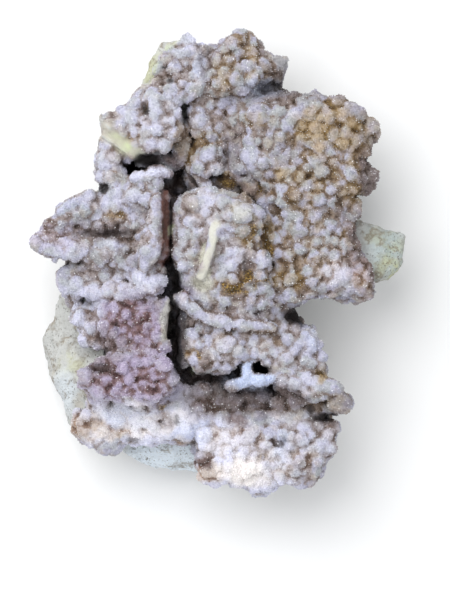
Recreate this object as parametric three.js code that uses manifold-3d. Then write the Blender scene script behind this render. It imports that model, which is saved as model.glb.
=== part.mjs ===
// A druzy quartz cluster on its host rock, in millimetres, +Z up. It lies on the flat back of the rock
// with its crystal face up; the origin is the middle of its footprint on the resting plane.
// The rock is a few broken blocks joined into one solid. The quartz is one crust: plates, fins and
// knobs that grew into each other, each covered with the round lumps of a botryoidal druse.

import * as THREE from 'three';
import { mergeVertices } from 'three/addons/utils/BufferGeometryUtils.js';
import Module from 'manifold-3d';

const wasm = await Module();
wasm.setup();

// Driving dimensions. The outlines below are in millimetres from the middle of the footprint.
const SEAT_GAP = 0.4;          // clearance between the crust and the rock it grew on
const CRUST_FOOT = 20;         // how deep the crust is set, just under the rock's upper face
const SKIN = 0.4;              // how far the plates stay inside the outlines, which the lumps reach
const UNDERCUT = 1.8;          // how much further in a plate's foot is than its shoulder
const LUMP_RADIUS = 3.5;       // mean radius of a lump at its root
const LUMP_HEIGHT = 3.6;       // height of a lump from its root to its point
const LUMP_SPREAD = 0.22;      // share by which one lump differs from the mean
const LUMP_PITCH = 8.1;        // distance between neighbouring lumps
const ROW_SHARE = 0.87;        // distance between rows of lumps, as a share of the pitch
const LUMP_JITTER = 0.2;       // share of the pitch by which a lump is off its place
const LUMP_SINK = 0.38;        // share of a lump's height that lies under the plate's face
const RIM_BARE = 2.4;          // how far in from an outline the first lumps are
const LUMP_TILT = 0.3;         // largest lean of a lump, in radians
const LUMP_SIDES = 6;          // faces of a lump's point
const COVER = 1;               // a lump this far under another plate's face is left out
const KEPT_SPAN = 0.4;         // least share of its span that a plate keeps at its foot and top
const CHIP_DEPTH = 40;         // size of the block that a chip takes away, outwards
const WELD = 1e-4;             // vertices closer than this are one
const SEED = 41;

THREE.MathUtils.seededRandom(SEED);

const between = (low, high) => THREE.MathUtils.lerp(low, high, THREE.MathUtils.seededRandom());

// The host rock: blocks that stand on the resting plane, with chipped edges and leaning tops.
const rockBlocks = [
  { // the slab that carries everything
    outline: [[-10, 67], [12, 67], [20, 54], [40, 48], [45, 32], [43, 14], [46, 0], [42, -8], [26, -12],
      [28, -28], [33, -42], [35, -56], [29, -67], [14, -71], [-4, -67], [-26, -62], [-41, -55],
      [-44, -40], [-46, -24], [-44, -8], [-44, 8], [-37, 20], [-36, 36], [-31, 47], [-20, 59]],
    foot: 0, top: 23, lean: [0, 0], edge: 2, taper: 0.05,
  },
  { // the bare flank on the west, which slopes away from the crystals
    outline: [[-58.2, -25], [-54, -18], [-52.8, -10], [-44, -7], [-36, -14], [-36, -46], [-43, -56.5],
      [-49.8, -54.5], [-52, -45], [-55, -38], [-57.2, -32]],
    foot: 0, top: 24, lean: [0.8, 0.08], edge: 1.6, taper: 0.08,
  },
  { // the pale toe on the south
    outline: [[-35, -59.6], [-31.5, -63.3], [-25, -66.6], [-16, -69.8], [-6.5, -70.8], [-2, -67], [-4, -54],
      [-22, -52], [-33, -54]],
    foot: 0, top: 23, lean: [0.05, 0.75], edge: 1.4, taper: 0.08,
  },
  { // the broken shard on the east
    outline: [[36, 14], [48, 14.5], [53, 14], [57.5, 11], [63.4, 10.6], [63.2, 5], [61.4, 0],
      [58.6, -3.8], [54, -5.4], [36, -6]],
    foot: 2, top: 33, lean: [0.02, -0.12], edge: 1.2, taper: 0.05,
  },
  { // the shoulder behind the north-west crag
    outline: [[-24.5, 60], [-21.5, 69], [-18, 74], [-13, 75.5], [-8, 72], [-2, 62], [-8, 46], [-20, 50]],
    foot: 0, top: 30, lean: [-0.1, -0.25], edge: 1.6, taper: 0.08,
  },
  { // the shoulder under the west wing
    outline: [[-51, 12], [-45, 22], [-38, 26], [-30, 22], [-30, -4], [-44, -4]],
    foot: 0, top: 28, lean: [0.3, -0.1], edge: 1.6, taper: 0.14,
  },
];

// Chips off the rock: each is a flat break through a point, which faces outwards at an azimuth in
// degrees from +X and downwards by a drop in degrees, and is so wide.
const rockChips = [
  { at: [2, 66, 9], azimuth: 92, drop: 38, width: 32 },
  { at: [16, 60, 12], azimuth: 44, drop: 20, width: 26 },
  { at: [32, 49, 7], azimuth: 78, drop: 40, width: 28 },
  { at: [43, 41, 11], azimuth: 22, drop: 30, width: 26 },
  { at: [43, 22, 8], azimuth: -6, drop: 46, width: 20 },
  { at: [54, 4, 15], azimuth: -8, drop: 42, width: 44 },
  { at: [40, -8, 9], azimuth: -62, drop: 36, width: 26 },
  { at: [28, -22, 12], azimuth: -4, drop: 24, width: 24 },
  { at: [32, -42, 7], azimuth: -14, drop: 44, width: 22 },
  { at: [32, -60, 11], azimuth: -34, drop: 28, width: 24 },
  { at: [14, -69, 8], azimuth: -82, drop: 42, width: 30 },
  { at: [-14, -66, 7], azimuth: -104, drop: 40, width: 26 },
  { at: [-36, -58, 10], azimuth: -126, drop: 30, width: 26 },
  { at: [-51, -46, 8], azimuth: 196, drop: 38, width: 22 },
  { at: [-55, -26, 6], azimuth: 174, drop: 46, width: 24 },
  { at: [-47, -10, 10], azimuth: 152, drop: 26, width: 24 },
  { at: [-45, 6, 13], azimuth: 184, drop: 50, width: 30 },
  { at: [-41, 22, 10], azimuth: 140, drop: 34, width: 24 },
  { at: [-34, 40, 8], azimuth: 162, drop: 42, width: 22 },
  { at: [-24, 56, 11], azimuth: 132, drop: 30, width: 26 },
  { at: [-16, 71, 12], azimuth: 112, drop: 44, width: 30 },
];

// The crust's plates. edge is how far a plate's rim is rounded, and lean how its top slopes. lump 0
// leaves a plate smooth; the others scale the druse's lumps.
const crustPlates = [
  { // the sheet on the rock from which the rest grew
    outline: [[-18, 71], [-9, 75], [-2, 69], [4, 75], [13, 73], [22, 67], [22, 56], [34, 54], [48, 49],
      [49, 40], [47, 33], [49, 24], [45, 16], [47, 6], [46, -8], [34, -9.5], [24, -13], [30, -20],
      [33, -30], [36, -40], [38, -50], [38, -60], [32, -70], [22, -73], [14, -76], [2, -74],
      [-6, -68], [-10, -60], [-22, -57], [-34, -60], [-44, -57], [-45, -48], [-40, -44], [-37, -30],
      [-42, -16], [-43, -9], [-43, 0], [-42, 14], [-38, 21], [-38, 34], [-34, 44], [-26, 56],
      [-21, 62]],
    foot: CRUST_FOOT, top: 27, lean: [0, 0], edge: 1.4, lump: 0.9,
  },
  { // ground of the crags
    outline: [[-25, 56], [-19, 69], [-10, 74], [4, 74], [14, 71], [21, 66], [22, 56], [12, 44], [-8, 44],
      [-9, 54], [-15, 57]],
    foot: 22, top: 40, lean: [0, -0.04], edge: 1.2, lump: 0,
  },
  { // ground of the middle, from the crags to the boss
    outline: [[-9.5, 48], [10, 48], [7, 40], [3, 36], [5, 31], [10, 24], [4, 18], [-10, 18], [-11.5, 30]],
    foot: 22, top: 38, lean: [0, 0], edge: 1.2, lump: 0,
  },
  { // ground of the east plate
    outline: [[12, 54], [36, 56], [49, 50], [48, 24], [45, 17], [45, 4], [50, -8], [34, -9], [24, -12],
      [16, -6], [15, 12], [18, 21], [10, 32]],
    foot: 22, top: 42, lean: [0, 0], edge: 1.2, lump: 0,
  },
  { // ground between the boss, its fin and the lower plates
    outline: [[-11, -10], [10, -6], [24, -10], [31, -20], [30, -30], [4, -33], [-10, -28]],
    foot: 22, top: 42, lean: [-0.05, 0.1], edge: 1.2, lump: 0,
  },
  { // ground below the lower plates
    outline: [[19, -30], [36, -32], [40, -44], [36, -51], [22, -49], [19, -40]],
    foot: 22, top: 37, lean: [0, 0.1], edge: 1.2, lump: 0,
  },
  { // ground in the south-west
    outline: [[-43, -38], [-16, -38], [-11, -46], [-12, -54], [-28, -57], [-43, -54]],
    foot: 22, top: 33.5, lean: [0, 0.1], edge: 1.2, lump: 0,
  },
  { // ground between the wing, its shelf and the amethyst lobe
    outline: [[-50, 4], [-34, 12], [-19, 8], [-17, -18], [-34, -40], [-37, -20], [-42, -8], [-50, -7]],
    foot: 22, top: 38, lean: [0.04, 0.02], edge: 1.2, lump: 0,
  },
  { // ground between the wing and the upper-left shoulder
    outline: [[-40, 22], [-40, 42], [-34, 44], [-29, 36], [-30, 30], [-20, 26], [-28, 18]],
    foot: 22, top: 37.5, lean: [0.1, 0.05], edge: 1.2, lump: 0,
  },
  { // north-west crag
    outline: [[-22.5, 61], [-20, 69], [-17, 73], [-10, 77.3], [-6, 75.2], [-2, 71], [-3, 64], [-4.5, 56.5],
      [-10, 54], [-17, 56]],
    foot: 22, top: 42, lean: [0.1, -0.25], edge: 2.2, lump: 1,
  },
  { // lobe at the foot of the north-west crag
    outline: [[-20, 60], [-9, 61], [-4, 68], [-3.5, 58], [-7, 54], [-17, 55]],
    foot: 26, top: 46.5, lean: [0, 0], edge: 1.7, lump: 0.9,
  },
  { // north crag
    outline: [[-2, 70], [3, 77.3], [9, 79.3], [14, 75.5], [18, 70.5], [15, 62], [10, 56], [0, 55],
      [-3.5, 59]],
    foot: 22, top: 44, lean: [-0.05, -0.22], edge: 2.5, lump: 1,
  },
  { // knob on the north crag's east side
    outline: [[12, 71], [19, 71.2], [22.5, 70], [24.8, 64.5], [24, 60.5], [15, 61], [11, 65]],
    foot: 24, top: 41, lean: [-0.25, 0], edge: 2.2, lump: 0.9,
  },
  { // dark saddle between the north crag and the east plate
    outline: [[9, 62], [18, 63], [24, 60], [23, 56], [14, 55], [8, 57]],
    foot: 22, top: 35, lean: [-0.1, 0], edge: 1.4, lump: 0.55,
  },
  { // upper-left shoulder
    outline: [[-40.3, 47.8], [-33, 51.5], [-29, 58], [-23.4, 61], [-17, 58.5], [-12, 54], [-11.5, 47],
      [-10.8, 43], [-14, 37.2], [-20, 36], [-24, 36], [-28, 33], [-33, 39], [-38.5, 44]],
    foot: 24, top: 46, lean: [0.22, -0.1], edge: 2.2, lump: 1,
  },
  { // roll along the shoulder's inner side
    outline: [[-24, 58], [-19, 57], [-14, 52], [-12, 45], [-16, 43], [-19, 49], [-24, 53]],
    foot: 30, top: 50.5, lean: [0, 0], edge: 1.7, lump: 0.85,
  },
  { // small lobe below the shoulder
    outline: [[-38.5, 44], [-40.3, 40], [-41.3, 34], [-40.4, 27.5], [-36, 25.5], [-31, 27], [-29.5, 32],
      [-31, 40]],
    foot: 22, top: 40.5, lean: [0.2, 0], edge: 2.2, lump: 0.95,
  },
  { // west wing
    outline: [[-60, 10], [-57.5, 14], [-50.5, 20], [-44, 24], [-37, 25], [-30, 27], [-18, 26], [-15.6, 18],
      [-15.4, 6], [-16, -2], [-28, -4], [-40, -2], [-46, 3], [-54, 4]],
    foot: 29, top: 42.5, lean: [0.08, -0.05], edge: 1.6, lump: 0.95,
  },
  { // the wing's pointed tip, with its smooth rolled rim
    outline: [[-63.3, 8], [-58, 12], [-50, 11], [-44, 9.5], [-42.3, 5], [-45, 1.6], [-50, 0.6], [-55, 0.2],
      [-60, 4]],
    foot: 33, top: 45, lean: [0.05, -0.15], edge: 2.2, lump: 0.7,
  },
  { // northern edge of the wing
    outline: [[-59, 12], [-52, 18.5], [-44, 23.5], [-38, 22], [-42, 16], [-50, 13.5]],
    foot: 30, top: 44.5, lean: [0.05, -0.1], edge: 1.7, lump: 0.75,
  },
  { // finger at the wing's north-east corner
    outline: [[-33, 25], [-29.5, 29.5], [-22, 32.5], [-16, 32.6], [-14.8, 30], [-17.5, 27.5], [-19, 23.5],
      [-25, 18.5], [-31, 20]],
    foot: 28, top: 48.5, lean: [0.1, 0], edge: 1.7, lump: 0.95,
  },
  { // fin that stands along the wing's east edge
    outline: [[-22.5, 22], [-18.6, 23.5], [-17.6, 15], [-18, 6], [-20.5, -3], [-26, -3.4], [-25.4, 3],
      [-23.4, 12]],
    foot: 28, top: 53, lean: [0.1, 0.03], edge: 1.4, lump: 0.55,
  },
  { // smooth shelf below the wing
    outline: [[-53.5, -1], [-44, 1], [-34, -1], [-18, 0], [-15.4, -4], [-18, -9], [-26, -11.5],
      [-36, -12.5], [-47, -11.5], [-53, -9.5], [-54.4, -5.5]],
    foot: 21, top: 40, lean: [0.16, -0.04], edge: 2.2, lump: 0.72,
  },
  { // bulge of the shelf at the wing's south-east corner
    outline: [[-28, -1], [-21, 0], [-16, -1], [-15.2, -5], [-18, -9.4], [-27, -11.4], [-30, -7]],
    foot: 24, top: 47, lean: [0.1, 0], edge: 2.2, lump: 0.9,
  },
  { // amethyst lobe, upper part
    outline: [[-40.5, -16], [-37, -12.5], [-30, -12.5], [-20, -9.6], [-15, -9.3], [-14.4, -14], [-15.4, -21],
      [-15.5, -31], [-26, -34], [-37, -31], [-38, -24]],
    foot: 23, top: 42, lean: [0.16, 0.02], edge: 1.6, lump: 0.95,
  },
  { // amethyst lobe, lower part
    outline: [[-46.5, -38], [-43.5, -33.5], [-38, -32], [-34, -27], [-28, -28], [-20, -30], [-14.5, -31.5],
      [-12.8, -36], [-13, -42], [-16.5, -45.5], [-24, -46.5], [-31, -45.5], [-38.5, -47], [-43, -44]],
    foot: 24, top: 46, lean: [0.08, 0.06], edge: 2.2, lump: 0.95,
  },
  { // crust that creeps over the west flank
    outline: [[-51.5, -10.5], [-44, -11.5], [-37, -12.5], [-36.5, -20], [-37.5, -28], [-41, -31],
      [-45, -27], [-46.5, -20], [-50, -15.5]],
    foot: CRUST_FOOT, top: 33.5, lean: [0.5, 0.05], edge: 1.6, lump: 0.8,
  },
  { // bright crust in the south-west corner
    outline: [[-48.6, -54], [-46, -59], [-41.5, -61], [-39.5, -63.5], [-35, -63.7], [-31, -61.5], [-24, -60],
      [-12, -60], [-8, -52], [-11, -44], [-24, -44], [-40, -45.5], [-47, -48.5]],
    foot: CRUST_FOOT, top: 34, lean: [0.1, 0.12], edge: 1.9, lump: 0.9,
  },
  { // the ground between the crags and the central boss
    outline: [[-10, 54], [0, 56], [9, 55.5], [10, 46], [6.5, 41], [3, 38], [5, 32], [13, 27], [4, 24],
      [-8, 25.5], [-11, 30], [-10, 37], [-9, 43], [-9.5, 50]],
    foot: 22, top: 39, lean: [-0.05, 0.12], edge: 1.7, lump: 0.95,
  },
  { // ridge on that ground
    outline: [[-8, 39], [-2, 43], [2, 40], [1, 33], [-2, 27], [-8, 27]],
    foot: 26, top: 43, lean: [0, -0.1], edge: 2.2, lump: 1,
  },
  { // east plate, northern half
    outline: [[19, 56], [24, 58.5], [30, 57], [36, 57.6], [42, 56], [48.5, 53], [51, 50.5], [50.5, 40],
      [50, 35], [51, 24], [38, 19], [20, 20], [12.5, 27], [6.5, 33], [7, 39], [9.5, 45], [9, 53]],
    foot: 25, top: 46.5, lean: [-0.06, -0.05], edge: 3.6, lump: 1,
  },
  { // east plate, southern half
    outline: [[50.5, 22], [48, 16.5], [47, 12], [50, 5], [52.5, -3], [53, -9], [51.5, -13], [48, -13],
      [42, -12], [35, -11.2], [32, -11.4], [29.5, -13.4], [24.5, -13.8], [20.5, -9], [18.5, 0],
      [17, 8], [17, 18], [20, 22], [38, 24]],
    foot: 25, top: 44.5, lean: [-0.05, -0.02], edge: 2.9, lump: 0.95,
  },
  { // ochre knob on the east plate's edge
    outline: [[40, 51.5], [53, 50.5], [55.5, 47], [55.8, 43.5], [53.4, 40.3], [40, 40.5]],
    foot: 25, top: 42, lean: [-0.2, 0], edge: 2.4, lump: 0.9,
  },
  { // second knob on the same edge
    outline: [[40, 35.5], [52.5, 34.8], [54.8, 31], [54.2, 26.6], [51.5, 23.5], [40, 24]],
    foot: 24, top: 39.5, lean: [-0.2, 0], edge: 2.4, lump: 0.9,
  },
  { // swell across the east plate
    outline: [[11, 54], [22, 54], [27, 47], [24, 41], [13, 40], [9, 46]],
    foot: 30, top: 49.5, lean: [0, -0.05], edge: 2.9, lump: 1.1,
  },
  { // mound at the plate's west corner
    outline: [[7, 38], [12, 40], [18, 37], [19, 32], [14, 29.5], [8.5, 31]],
    foot: 28, top: 49, lean: [-0.1, 0], edge: 2.4, lump: 1,
  },
  { // central boss
    outline: [[-14.8, 22], [-10, 25.5], [-4, 27], [3, 25], [9, 23.8], [13.5, 22], [16.2, 18], [16, 10],
      [15, 5], [18, 3], [19.4, -2], [20, -9], [18, -15.5], [10, -17], [3, -15], [-3, -13],
      [-6, -8], [-10, -4.5], [-14, 0], [-15, 5], [-14, 12]],
    foot: 24, top: 50, lean: [0.05, 0.08], edge: 2.9, lump: 0.95,
  },
  { // crown of the boss
    outline: [[0, 22], [8, 22.5], [13, 19], [13, 12], [9, 8], [3, 10], [-1, 15]],
    foot: 34, top: 55, lean: [0, 0.05], edge: 2.9, lump: 1.15,
  },
  { // cream seam of bare rock that crosses the boss
    outline: [[-2.6, 12.5], [0.2, 12.5], [0.4, 7], [-1.5, 1], [-4.5, -6], [-8.5, -5.5], [-5, 1], [-3.6, 6]],
    foot: 34, top: 53.4, lean: [0.02, 0.06], edge: 0.8, lump: 0,
  },
  { // fin below the boss
    outline: [[-14, -10.6], [-12, -8.8], [-7, -11.4], [-2, -14.6], [5, -16.8], [12, -18], [19.5, -18.8],
      [19, -22], [10, -22.4], [2, -20.6], [-4, -18.6], [-10, -15]],
    foot: 24, top: 51.5, lean: [-0.06, 0], edge: 1, lump: 0.5,
  },
  { // lower plate, western half
    outline: [[-12.4, -22], [-8, -19], [0, -20.6], [10, -22], [19, -22], [20.5, -30], [19, -35], [13, -33],
      [8, -33], [5.5, -35.5], [0, -36.5], [-5, -36.5], [-9, -34], [-12.4, -29]],
    foot: 26, top: 45.5, lean: [-0.05, 0.03], edge: 2.2, lump: 1,
  },
  { // lower plate, eastern half
    outline: [[19, -20], [25, -17.4], [29, -19], [32, -19], [34.4, -25], [37, -31], [38, -37], [30, -37],
      [19, -36]],
    foot: 24, top: 42.5, lean: [-0.14, 0], edge: 2.2, lump: 1,
  },
  { // thick ledge below it
    outline: [[18.8, -38], [24, -35.5], [32, -36], [38, -38], [41, -42], [37, -46], [31, -46.4], [26, -41.6],
      [20, -40.4]],
    foot: 27, top: 45.5, lean: [-0.12, 0.05], edge: 1.6, lump: 0.62,
  },
  { // upright of the small cross
    outline: [[8.6, -33], [12, -32.6], [13, -38], [8, -38]],
    foot: 22, top: 42, lean: [0, 0], edge: 1.2, lump: 0,
  },
  { // bar of the small cross
    outline: [[3.4, -41], [8, -37.2], [17, -36.4], [19.6, -38], [17, -41], [9, -42.6]],
    foot: 22, top: 42.5, lean: [0, 0], edge: 1.3, lump: 0.45,
  },
  { // knob on the south-east
    outline: [[28, -44], [39, -41.4], [43, -41.2], [46, -45], [46.9, -47.6], [42.5, -50.4], [36, -50.6],
      [28, -49]],
    foot: 22, top: 36, lean: [-0.1, 0], edge: 2.2, lump: 0.9,
  },
  { // rounded floor of the recess, western swell
    outline: [[-11, -40], [-5, -37], [1, -40], [2, -48], [-4, -51], [-10, -47]],
    foot: 22, top: 33.5, lean: [0, -0.1], edge: 3.2, lump: 1.1,
  },
  { // rounded floor of the recess, eastern swell
    outline: [[2, -43], [12, -41], [24, -40], [30, -45], [28, -51], [14, -52], [3, -51]],
    foot: 22, top: 32, lean: [0, -0.1], edge: 2.9, lump: 1.1,
  },
  { // southern mass
    outline: [[43, -51.5], [41.6, -56], [41, -62], [37.5, -66.5], [35.5, -70], [33.5, -73.4], [29.5, -75.6],
      [25, -75.4], [21, -73.4], [10, -73], [0, -75.2], [-4.5, -74.2], [-8, -70], [-8, -66],
      [-5, -62], [-9, -57], [-10, -51], [0, -52], [14, -52], [30, -51]],
    foot: CRUST_FOOT, top: 36, lean: [0.02, 0.1], edge: 2.9, lump: 1,
  },
  { // bright swell at the southern edge
    outline: [[-3, -63], [6, -61], [15, -63], [18, -69], [12, -74], [2, -74.5], [-4, -70]],
    foot: 24, top: 38, lean: [0, 0.1], edge: 3.2, lump: 1.15,
  },
  { // toe of the southern edge
    outline: [[4, -73], [10, -76], [13.5, -78.8], [16.5, -79.4], [19.5, -77], [23, -74], [18, -70],
      [8, -70]],
    foot: 22, top: 30.5, lean: [0, 0.3], edge: 1.9, lump: 0.85,
  },
];

// A block of the host rock. Its edges are chipped by edge, its top leans by so many millimetres per
// millimetre along x and y, it narrows by taper towards its foot, and grow swells it on every side.
function rockGeometry({ outline, foot, top, lean, edge, taper }, grow) {
  const geometry = new THREE.ExtrudeGeometry(new THREE.Shape(pointsOf(outline)), {
    depth: top - foot - 2 * edge,
    bevelSegments: 1,
    bevelSize: edge,
    bevelThickness: edge,
    bevelOffset: grow - edge,
    steps: 1,
  });
  const [cx, cy] = middleOf(outline);
  return reshape(geometry, (x, y, z) => {
    const share = (z + edge) / (top - foot);
    const narrow = 1 - taper * (1 - share);
    const rise = share * ((x - cx) * lean[0] + (y - cy) * lean[1]);
    const swell = grow * (2 * share - 1);
    return [cx + (x - cx) * narrow, cy + (y - cy) * narrow, foot + z + edge + rise + swell];
  });
}

// The block of rock that a chip takes away, less what the rock is swelled by.
function chipGeometry({ at, azimuth, drop, width }, grow) {
  const chip = new THREE.BoxGeometry(CHIP_DEPTH, width - 2 * grow, CHIP_DEPTH - 2 * grow);
  chip.translate(CHIP_DEPTH / 2 + grow, 0, 0);
  chip.rotateY(THREE.MathUtils.degToRad(drop));
  chip.rotateZ(THREE.MathUtils.degToRad(azimuth));
  return chip.translate(...at);
}

// A plate of the crust: it widens from its foot to a shoulder, then rounds over to its top face.
function plateGeometry({ outline, foot, top, lean, edge }) {
  const levels = [[foot, SKIN + UNDERCUT], [top - edge, SKIN], [top, SKIN + edge]];
  const geometry = new THREE.ExtrudeGeometry(new THREE.Shape(pointsOf(outline)), {
    depth: levels.length - 1,
    steps: levels.length - 1,
    bevelEnabled: false,
  });
  const [cx, cy] = middleOf(outline);
  const halfX = halfSpan(outline.map(([x]) => x));
  const halfY = halfSpan(outline.map(([, y]) => y));
  return reshape(geometry, (x, y, z) => {
    const [height, inset] = levels[Math.round(z)];
    const px = cx + (x - cx) * Math.max(KEPT_SPAN, 1 - inset / halfX);
    const py = cy + (y - cy) * Math.max(KEPT_SPAN, 1 - inset / halfY);
    const rise = z > 0 ? (px - cx) * lean[0] + (py - cy) * lean[1] : 0;
    return [px, py, height + rise];
  });
}

const pointsOf = (outline) => outline.map(([x, y]) => new THREE.Vector2(x, y));

const halfSpan = (values) => (Math.max(...values) - Math.min(...values)) / 2;

function reshape(geometry, move) {
  const place = geometry.attributes.position;
  for (let i = 0; i < place.count; i++) {
    place.setXYZ(i, ...move(place.getX(i), place.getY(i), place.getZ(i)));
  }
  return geometry;
}

function middleOf(outline) {
  const sum = outline.reduce(([sx, sy], [x, y]) => [sx + x, sy + y], [0, 0]);
  return [sum[0] / outline.length, sum[1] / outline.length];
}

// A closed geometry as a manifold-3d solid.
function solidOf(geometry) {
  const bare = geometry.index ? geometry.toNonIndexed() : geometry.clone();
  bare.deleteAttribute('normal');
  bare.deleteAttribute('uv');
  const merged = mergeVertices(bare, WELD);
  return new wasm.Manifold(new wasm.Mesh({
    numProp: 3,
    vertProperties: merged.attributes.position.array,
    triVerts: new Uint32Array(merged.index.array),
  }));
}

function geometryOf(solid) {
  const { vertProperties, triVerts } = solid.getMesh();
  const geometry = new THREE.BufferGeometry();
  geometry.setAttribute('position', new THREE.BufferAttribute(new Float32Array(vertProperties), 3));
  geometry.setIndex(new THREE.BufferAttribute(new Uint32Array(triVerts), 1));
  geometry.computeVertexNormals();
  return geometry;
}

// How far a point is inside the outline; negative outside it.
function depthInside(outline, x, y) {
  const point = new THREE.Vector3(x, y, 0);
  const nearest = new THREE.Vector3();
  let inside = false;
  let distance = Infinity;
  outline.forEach(([ax, ay], i) => {
    const [bx, by] = outline[(i + 1) % outline.length];
    new THREE.Line3(new THREE.Vector3(ax, ay, 0), new THREE.Vector3(bx, by, 0))
      .closestPointToPoint(point, true, nearest);
    distance = Math.min(distance, nearest.distanceTo(point));
    if ((ay > y) !== (by > y) && x < ((bx - ax) * (y - ay)) / (by - ay) + ax) inside = !inside;
  });
  return inside ? distance : -distance;
}

// The height of a plate's top face at a point this deep inside its outline.
function faceHeight({ outline, top, lean, edge }, x, y, depth) {
  const [cx, cy] = middleOf(outline);
  const reach = Math.max(0, edge - Math.max(0, depth - SKIN));
  const roundOff = edge - Math.sqrt(edge * edge - reach * reach);
  return top + (x - cx) * lean[0] + (y - cy) * lean[1] - roundOff;
}

// A lump is a blunt six-sided point, which is how quartz ends.
function lumpGeometry(x, y, z, radius) {
  const height = LUMP_HEIGHT * radius / LUMP_RADIUS;
  const lump = new THREE.ConeGeometry(radius, height, LUMP_SIDES, 1);
  lump.rotateX(Math.PI / 2 + between(-LUMP_TILT, LUMP_TILT));
  lump.rotateY(between(-LUMP_TILT, LUMP_TILT));
  lump.rotateZ(between(0, Math.PI));
  return lump.translate(x, y, z + height * (0.5 - LUMP_SINK));
}

// True where another plate's face lies over this point.
function isCovered(others, x, y, z) {
  return others.some((other) => {
    const depth = depthInside(other.outline, x, y);
    return depth > -SKIN && faceHeight(other, x, y, depth) > z - COVER;
  });
}

// The lumps of one plate: a jittered triangular lattice over its face, smaller near its rim.
function lumpsOf(plate, others) {
  const pitch = LUMP_PITCH * plate.lump;
  const xs = plate.outline.map(([x]) => x);
  const ys = plate.outline.map(([, y]) => y);
  const rows = Math.ceil((Math.max(...ys) - Math.min(...ys)) / (pitch * ROW_SHARE));
  const columns = Math.ceil((Math.max(...xs) - Math.min(...xs)) / pitch);
  const lumps = [];
  for (let row = 0; row < rows; row++) {
    for (let column = 0; column <= columns; column++) {
      const shift = row % 2 ? 0.75 : 0.25;
      const x = Math.min(...xs) + (column + shift + between(-LUMP_JITTER, LUMP_JITTER)) * pitch;
      const y = Math.min(...ys) + (row * ROW_SHARE + 0.5 + between(-LUMP_JITTER, LUMP_JITTER)) * pitch;
      const depth = depthInside(plate.outline, x, y);
      const z = faceHeight(plate, x, y, depth);
      const radius = Math.min(LUMP_RADIUS * plate.lump, depth) * between(1 - LUMP_SPREAD, 1 + LUMP_SPREAD);
      if (depth > RIM_BARE && !isCovered(others, x, y, z)) lumps.push(lumpGeometry(x, y, z, radius));
    }
  }
  return lumps;
}

const join = (solids) => solids.reduce((all, one) => all.add(one));

function rockSolid(grow) {
  const blocks = rockBlocks.map((block) => solidOf(rockGeometry(block, grow)));
  const chips = rockChips.map((chip) => solidOf(chipGeometry(chip, grow)));
  return join(blocks).subtract(join(chips));
}

function crustSolid() {
  const plates = crustPlates.map((plate) => solidOf(plateGeometry(plate)));
  const lumps = crustPlates
    .filter((plate) => plate.lump > 0)
    .flatMap((plate) => lumpsOf(plate, crustPlates.filter((other) => other !== plate)))
    .map(solidOf);
  return join([...plates, ...lumps]).subtract(rockSolid(SEAT_GAP));
}

function meshOf(name, solid, colour, roughness) {
  const material = new THREE.MeshStandardMaterial({ color: colour, roughness, flatShading: true });
  const mesh = new THREE.Mesh(geometryOf(solid), material);
  mesh.name = name;
  return mesh;
}

const cluster = new THREE.Group();
cluster.add(meshOf('host_rock', rockSolid(0), 0xc6cdbf, 0.9));
cluster.add(meshOf('quartz_crust', crustSolid(), 0xb9b3bd, 0.45));

// The origin goes to the middle of the footprint.
const bounds = new THREE.Box3().setFromObject(cluster);
cluster.position.set(-(bounds.min.x + bounds.max.x) / 2, -(bounds.min.y + bounds.max.y) / 2, -bounds.min.z);

export default cluster;
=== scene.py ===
import math

import bpy
import numpy as np
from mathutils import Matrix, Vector, noise
from mathutils.bvhtree import BVHTree
from mathutils.kdtree import KDTree


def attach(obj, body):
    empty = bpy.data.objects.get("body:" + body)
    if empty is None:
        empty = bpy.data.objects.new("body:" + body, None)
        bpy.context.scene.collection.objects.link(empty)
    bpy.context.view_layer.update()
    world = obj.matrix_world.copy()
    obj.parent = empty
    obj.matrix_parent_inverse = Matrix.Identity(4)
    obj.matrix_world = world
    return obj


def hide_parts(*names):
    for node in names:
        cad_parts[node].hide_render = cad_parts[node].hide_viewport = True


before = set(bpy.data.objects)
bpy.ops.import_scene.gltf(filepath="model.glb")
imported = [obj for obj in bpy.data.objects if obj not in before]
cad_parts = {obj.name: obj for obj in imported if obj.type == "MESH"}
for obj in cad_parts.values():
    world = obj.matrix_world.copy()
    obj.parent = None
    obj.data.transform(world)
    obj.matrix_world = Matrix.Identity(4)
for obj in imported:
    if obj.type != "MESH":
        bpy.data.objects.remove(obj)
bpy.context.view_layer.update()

bl_info = {
    "name": "Quartz cluster",
    "version": (1, 0, 0),
    "blender": (4, 5, 0),
    "location": "View3D > Sidebar > Quartz",
    "description": "Builds a druzy quartz cluster on its host rock, with its studio",
    "category": "Object",
}

MM = 0.001

# Lengths in millimetres.
BED_HILL, BED_RISE = 15, 4.5  # the seam between crust and rock: width of its hills, and their height
EDGE_WAVE, EDGE_REACH = 5.0, 2.6  # how wide the waves in the spots' edges are, and how far they reach
GROUND_VOXEL = 1.0  # size of the grid that softens the ground under the lumps
LEVEL_RADIUS = 2.0  # a smaller lump is lifted and a larger one sunk, so that their tops differ less
ABOVE_ALL = 100  # a height from which lumps are let down
OPEN_REACH = 12  # how near something has to be to keep the sky from a place
OPEN_START = 0.4  # how far over the surface that is judged
LUMP_FOOT, SUGAR_FOOT = 20.5, 21  # heights over which lumps and tiny crystals stand
HOLLOW_DEPTH = 6  # how far the ground sinks in the deepest hollows
HOLLOW_FLOOR = 28  # lumps stand in a hollow only under this height
UPPER_FACES = 42  # height of the cluster's upper faces
HALF_VIEW = 100  # half the length that the camera shows at the height of the upper faces

# Heights between which something sets in.
ROCK_RELIEF_FROM = (0.3, 2.5)
ROCK_SEAM_FROM = (6, 19)
CRUST_SEAM_FROM = (30, 20)
CRUST_RELIEF_FROM = (20, 25)
SINKING_FROM = (29, 36)
DARKNESS_FROM = (25, 34)

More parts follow.
